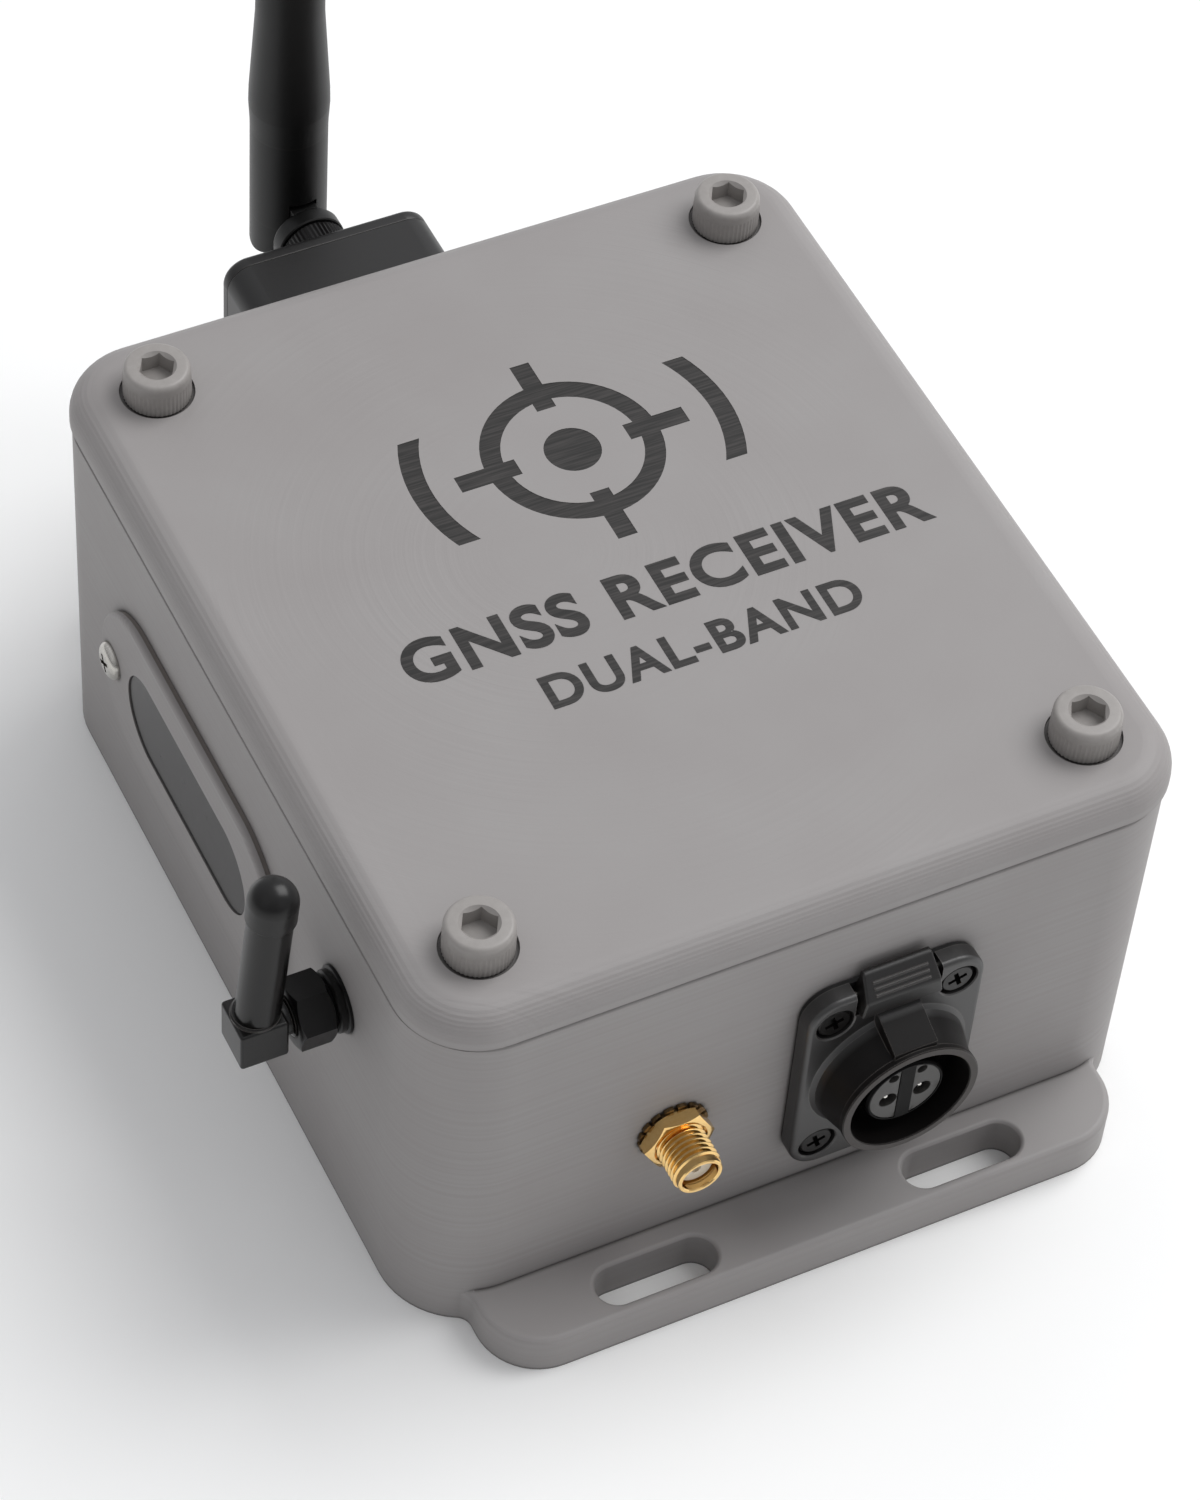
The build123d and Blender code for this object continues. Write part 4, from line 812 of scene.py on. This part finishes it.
block_size = 6.1
block_start = nut_end + 1.2
elbow = bar((-block_size / 2, -block_size / 2, block_start), (block_size / 2, block_size / 2, block_start + block_size))
elbow = soften(elbow, 0.4, segments=3)
neck = turned([(0, nut_end - 1.8), (3.0, nut_end - 1.8), (3.0, nut_end - 1.3), (2.5, nut_end - 1.2),
               (2.5, nut_end + 0.15), (2.1, nut_end + 0.35), (2.1, block_start + 0.4), (0, block_start + 0.4)])
collar = turned([(0, 2.4), (2.95, 2.4), (2.95, 3.2), (2.75, 3.42), (0, 3.42)], 48)
stub_turn = Matrix.Translation((0, 0, block_start + block_size / 2)) @ Matrix.Rotation(-math.pi / 2, 4, "X")
move(collar, stub_turn)
elbow = gather(elbow, neck, collar)
move(elbow, stub_place)
satin_black = moulded("satin_black_abs", "#131211", "#0d0c0c", 0.24, 0.55, 1.38)
show("stub_elbow_block", elbow, satin_black, "stub_antenna", "stub_black", "stub_elbow")

lean = math.radians(5.4)
stub_axis = Vector((math.sin(lean), 0, math.cos(lean)))
cube_x = left_x - (block_start + block_size / 2) * MM
tube_start = block_size / 2 - 2.0
tube_place = place_at(Vector((cube_x + tube_start * MM * math.tan(lean), stub_origin[1],
                              stub_origin[2] + tube_start * MM)), (0, -1, 0), stub_axis)
tube_top = 21.0
sleeve = turned([(0, 0), (2.75, 0), (2.75, tube_top - 0.3), (2.45, tube_top), (0, tube_top)], 64)
move(sleeve, tube_place)
show("stub_tube", sleeve, satin_black, "stub_antenna", "stub_black", "stub_sleeve")
cap_low = tube_top - 2.0
cap_side = 2.8
cap_radius = 3.05
dome_start = cap_low + cap_side
cap = turned([(2.76, cap_low + 0.1), (2.95, cap_low), (cap_radius, cap_low + 0.15)] +
             [(cap_radius * math.cos(math.radians(9 * i)), dome_start + cap_radius * math.sin(math.radians(9 * i)))
              for i in range(10)] + [(0, dome_start + cap_radius), (0, tube_top + 0.1), (2.76, tube_top + 0.1)],
             64, closed=True)
move(cap, tube_place)
black_vinyl = grained("glossy_black_vinyl", "#131212", "#0e0d0d", 1.0, 0.006, 0.0, 0.3, 1.4)
show("stub_domed_cap", cap, black_vinyl, "stub_antenna", "cap_black", "stub_cap")
copper = grained("drawn_copper", "#b87a55", "#a4683f", 0.5, 0.004, 1.0, 0.3)
finish_node(copper, "stub_radiator", "whip_radiator")


# ---- Radio box ----
# A small black ABS box screwed to the rear wall over a thin seal, with a cover of its own held by four
# countersunk screws. The joint between box and cover shows as a thin line.

box_low, box_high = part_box("radio_case")
cover_low, cover_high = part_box("radio_cover")
rear_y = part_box("radio_seal")[0].y
radio_place = place_at(((box_low.x + box_high.x) / 2, rear_y, (box_low.z + box_high.z) / 2), (-1, 0, 0), (0, 1, 0))
radio_width = (box_high.x - box_low.x) / MM
radio_height = (box_high.z - box_low.z) / MM
cover_start, cover_end = (cover_low.y - rear_y) / MM, (cover_high.y - rear_y) / MM
radio_corner = 3.4
black_abs = moulded("black_abs_box", "#1a1919", "#131212", 0.4, 0.3)


def chamfered_plate(low, high, rim, foot):
    """A plate of the radio box's outline with a rounded outer rim and a small bevel at its foot."""
    shape = rounded(radio_width, radio_height, low, high, radio_corner, rim)
    lower = [e for e in shape.edges if all(v.co.z < low + 1e-4 for v in e.verts)]
    bmesh.ops.bevel(shape, geom=lower, offset=foot, segments=2, profile=0.5, affect="EDGES", material=-1)
    return shape


radio_shell = chamfered_plate(0.5, cover_start, 0.15, 0.1)
radio_shell = carve(radio_shell, rounded(radio_width - 4, radio_height - 4, 0, cover_start + 1, 1.4))
move(radio_shell, radio_place)
show("radio_box_shell", radio_shell, black_abs, "enclosure", "radio_black", "radio_case")
lid_plate = chamfered_plate(cover_start, cover_end, 0.9, 0.15)
jack_offset = -((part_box("whip_jack")[0].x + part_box("whip_jack")[1].x) / 2 - (box_low.x + box_high.x) / 2) / MM
hole = rod(3.3, 0, cover_end + 1)
bmesh.ops.translate(hole, vec=(jack_offset, 0, 0), verts=hole.verts)
lid_plate = carve(lid_plate, hole)
cover_screw_x = radio_width / 2 - 3.8
cover_screw_z = radio_height / 2 - 3.8
radio_screws = bmesh.new()
for x in (-cover_screw_x, cover_screw_x):
    for z in (-cover_screw_z, cover_screw_z):
        seat = rod(2.0, cover_end - 1.3, cover_end + 1, 40)
        bmesh.ops.translate(seat, vec=(x, z, 0), verts=seat.verts)
        lid_plate = carve(lid_plate, seat)
        screw = turned([(0, cover_end - 1.3), (1.9, cover_end - 1.3), (1.9, cover_end - 0.35), (1.7, cover_end - 0.12),
                        (0, cover_end - 0.12)], 32)
        screw = carve(screw, prism(1.5, cover_end - 0.9, cover_end + 1))
        stamp(radio_screws, screw, radio_place @ Matrix.Translation((x, z, 0)))
        screw.free()
move(lid_plate, radio_place)
show("radio_box_cover", lid_plate, black_abs, "enclosure", "radio_black", "radio_cover")
show("radio_cover_screws", radio_screws, black_oxide, "enclosure", "black_screw", "radio_screws", angle=28)
show("radio_box_seal", from_frame("radio_seal"), neoprene, "enclosure", "seal_rubber", "radio_seal")


# ---- Whip antenna ----
# A black whip on a folding knuckle: a round coupling nut with a coin edge, a turned collar with a flat
# tongue, and a slotted barrel that swells to a ridge, then tapers to a round tip.

coupler_low, coupler_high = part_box("whip_coupling_nut")
whip_x = (coupler_low.x + coupler_high.x) / 2
whip_z = (coupler_low.z + coupler_high.z) / 2
whip_place = place_at((whip_x, cover_high.y, whip_z), (-1, 0, 0), (0, 1, 0))
coupler_start, coupler_end = (coupler_low.y - cover_high.y) / MM, (coupler_high.y - cover_high.y) / MM
coupler_radius = (coupler_high.x - coupler_low.x) / 2 / MM
coin_columns = 96
coin_depth = 0.14
coupler = turned([(2.56, coupler_start + 0.1), (coupler_radius - 0.3, coupler_start),
                  (coupler_radius, coupler_start + 0.3), (coupler_radius, coupler_end - 0.3),
                  (coupler_radius - 0.3, coupler_end), (2.56, coupler_end)], coin_columns, closed=True)
for vert in coupler.verts:
    column = round(math.atan2(vert.co.y, vert.co.x) / (2 * math.pi / coin_columns))
    if vert.co.xy.length > coupler_radius - 0.01 and column % 2:
        vert.co.xy *= 1 - coin_depth / coupler_radius
move(coupler, whip_place)
show("whip_coin_nut", coupler, black_chromate, "enclosure", "nut_black", "whip_coupling_nut", angle=28)
jack_nut = hex_nut(8.0, 0, 1.5, 3.2)
move(jack_nut, whip_place)
show("whip_panel_nut", jack_nut, black_chromate, "enclosure", "nut_black", "whip_jack_nut")

pin_out = 14.0
collar_start = coupler_end + 0.1
collar_end = collar_start + 2.5
tongue_half = 1.8
tongue_radius = 4.4
knuckle = turned([(0, coupler_end - 1.6), (3.0, coupler_end - 1.6), (3.0, coupler_end - 1.3), (2.5, coupler_end - 1.2),
                  (2.5, collar_start), (4.55, collar_start), (4.7, collar_start + 0.15), (4.7, collar_end - 0.6),
                  (4.5, collar_end - 0.15), (4.2, collar_end), (0, collar_end)], 72)
tongue = bar((-tongue_half, -4.3, collar_end - 0.5), (tongue_half, 4.3, pin_out))
tongue_end = rod(tongue_radius, -tongue_half, tongue_half)
move(tongue_end, Matrix.Translation((0, 0, pin_out)) @ Matrix.Rotation(math.pi / 2, 4, "Y"))
knuckle = gather(knuckle, soften(tongue, 0.15), soften(tongue_end, 0.15))
move(knuckle, whip_place)
moulded_rubber = moulded("black_tpe_rubber", "#0d0d0d", "#080808", 0.42, 0.1, 1.38)
show("whip_knuckle_joint", knuckle, moulded_rubber, "whip_base", "whip_black", "whip_knuckle")

whip_radius = 5.1
whip_facets = 96
slot_half = 1.95
step_up = 19.0
tip_radius = 3.8
whip_tip = (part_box("whip_sleeve")[1].z - whip_z) / MM
crown = whip_tip - tip_radius
whip_profile = [(0, step_up - 4), (whip_radius, step_up - 4), (whip_radius + 0.02, step_up - 3),
                (5.28, step_up - 0.1), (5.3, step_up + 0.2), (5.25, step_up + 2.5), (4.45, step_up + 15.5),
                (tip_radius, crown)]
whip_profile += [(tip_radius * math.cos(math.radians(10 * i)), crown + tip_radius * math.sin(math.radians(10 * i)))
                 for i in range(1, 9)]
taper = turned(whip_profile + [(0, whip_tip)], whip_facets)
ball = rod(whip_radius, -whip_radius - 1, whip_radius + 1, whip_facets)
bmesh.ops.rotate(ball, cent=(0, 0, 0), matrix=Matrix.Rotation(math.pi / 2, 3, "Y"), verts=ball.verts)
ball = carve(ball, rod(whip_radius - 0.001, -whip_radius - 1, 0.5, whip_facets), "INTERSECT")
barrel = carve(rod(whip_radius, 0.45, step_up - 3.9, whip_facets), bar((-slot_half, -9, -9), (slot_half, 9, 5.0)))
ball = carve(ball, bar((-slot_half, -9, -9), (slot_half, 9, 9)))
whip = gather(taper, barrel, ball)
whip_up = Matrix.Translation((whip_x, cover_high.y + pin_out * MM, whip_z)) @ Matrix.Scale(MM, 4)
move(whip, whip_up)
show("whip_rod", whip, moulded_rubber, "whip", "whip_black", "whip_sleeve", angle=24)


# ---- Boards and leads inside ----
# Green glass-epoxy boards carry a tinned receiver can, a finned processor, a coin cell and nylon
# headers, joined to the connectors by thin leads. All of it is shut in by the lid.

epoxy = grained("green_solder_resist", "#1f6b45", "#18573a", 0.8, 0.01, 0.0, 0.35, 1.5)
tin_plate = grained("tinned_shield_can", "#c4c3bf", "#b2b0ab", 0.6, 0.006, 1.0, 0.32)
package = grained("moulded_package", "#201f1e", "#181716", 0.3, 0.01, 0.0, 0.6, 1.55)
anodised = grained("black_anodised_aluminium", "#2a2a2b", "#202021", 0.3, 0.006, 0.8, 0.4)
nickel = grained("nickel_plated_steel", "#cfccc4", "#bdbab1", 0.6, 0.004, 1.0, 0.22)
ivory = grained("ivory_nylon", "#e6dfcc", "#d9d1bc", 0.6, 0.01, 0.0, 0.5, 1.53)
jacket = grained("black_pvc_jacket", "#1d1c1c", "#151414", 0.5, 0.01, 0.0, 0.45, 1.53)
red_wire = grained("red_wire_insulation", "#a8281f", "#8e2019", 0.5, 0.01, 0.0, 0.42, 1.5)
clear = grained("clear_epoxy", "#dfe3da", "#cfd4c9", 0.5, 0.004, 0.0, 0.15, 1.5)
finish_node(epoxy, "main_board", "status_board", "radio_board")
finish_node(tin_plate, "receiver_module")
finish_node(package, "processor", "radio_chip", "cell_holder")
finish_node(anodised, "heat_sink")
finish_node(nickel, "backup_cell")
finish_node(ivory, "lead_sockets")
finish_node(jacket, "gnss_lead", "stub_lead", "status_lead", "radio_lead")
finish_node(red_wire, "power_leads")
finish_node(clear, "status_leds")
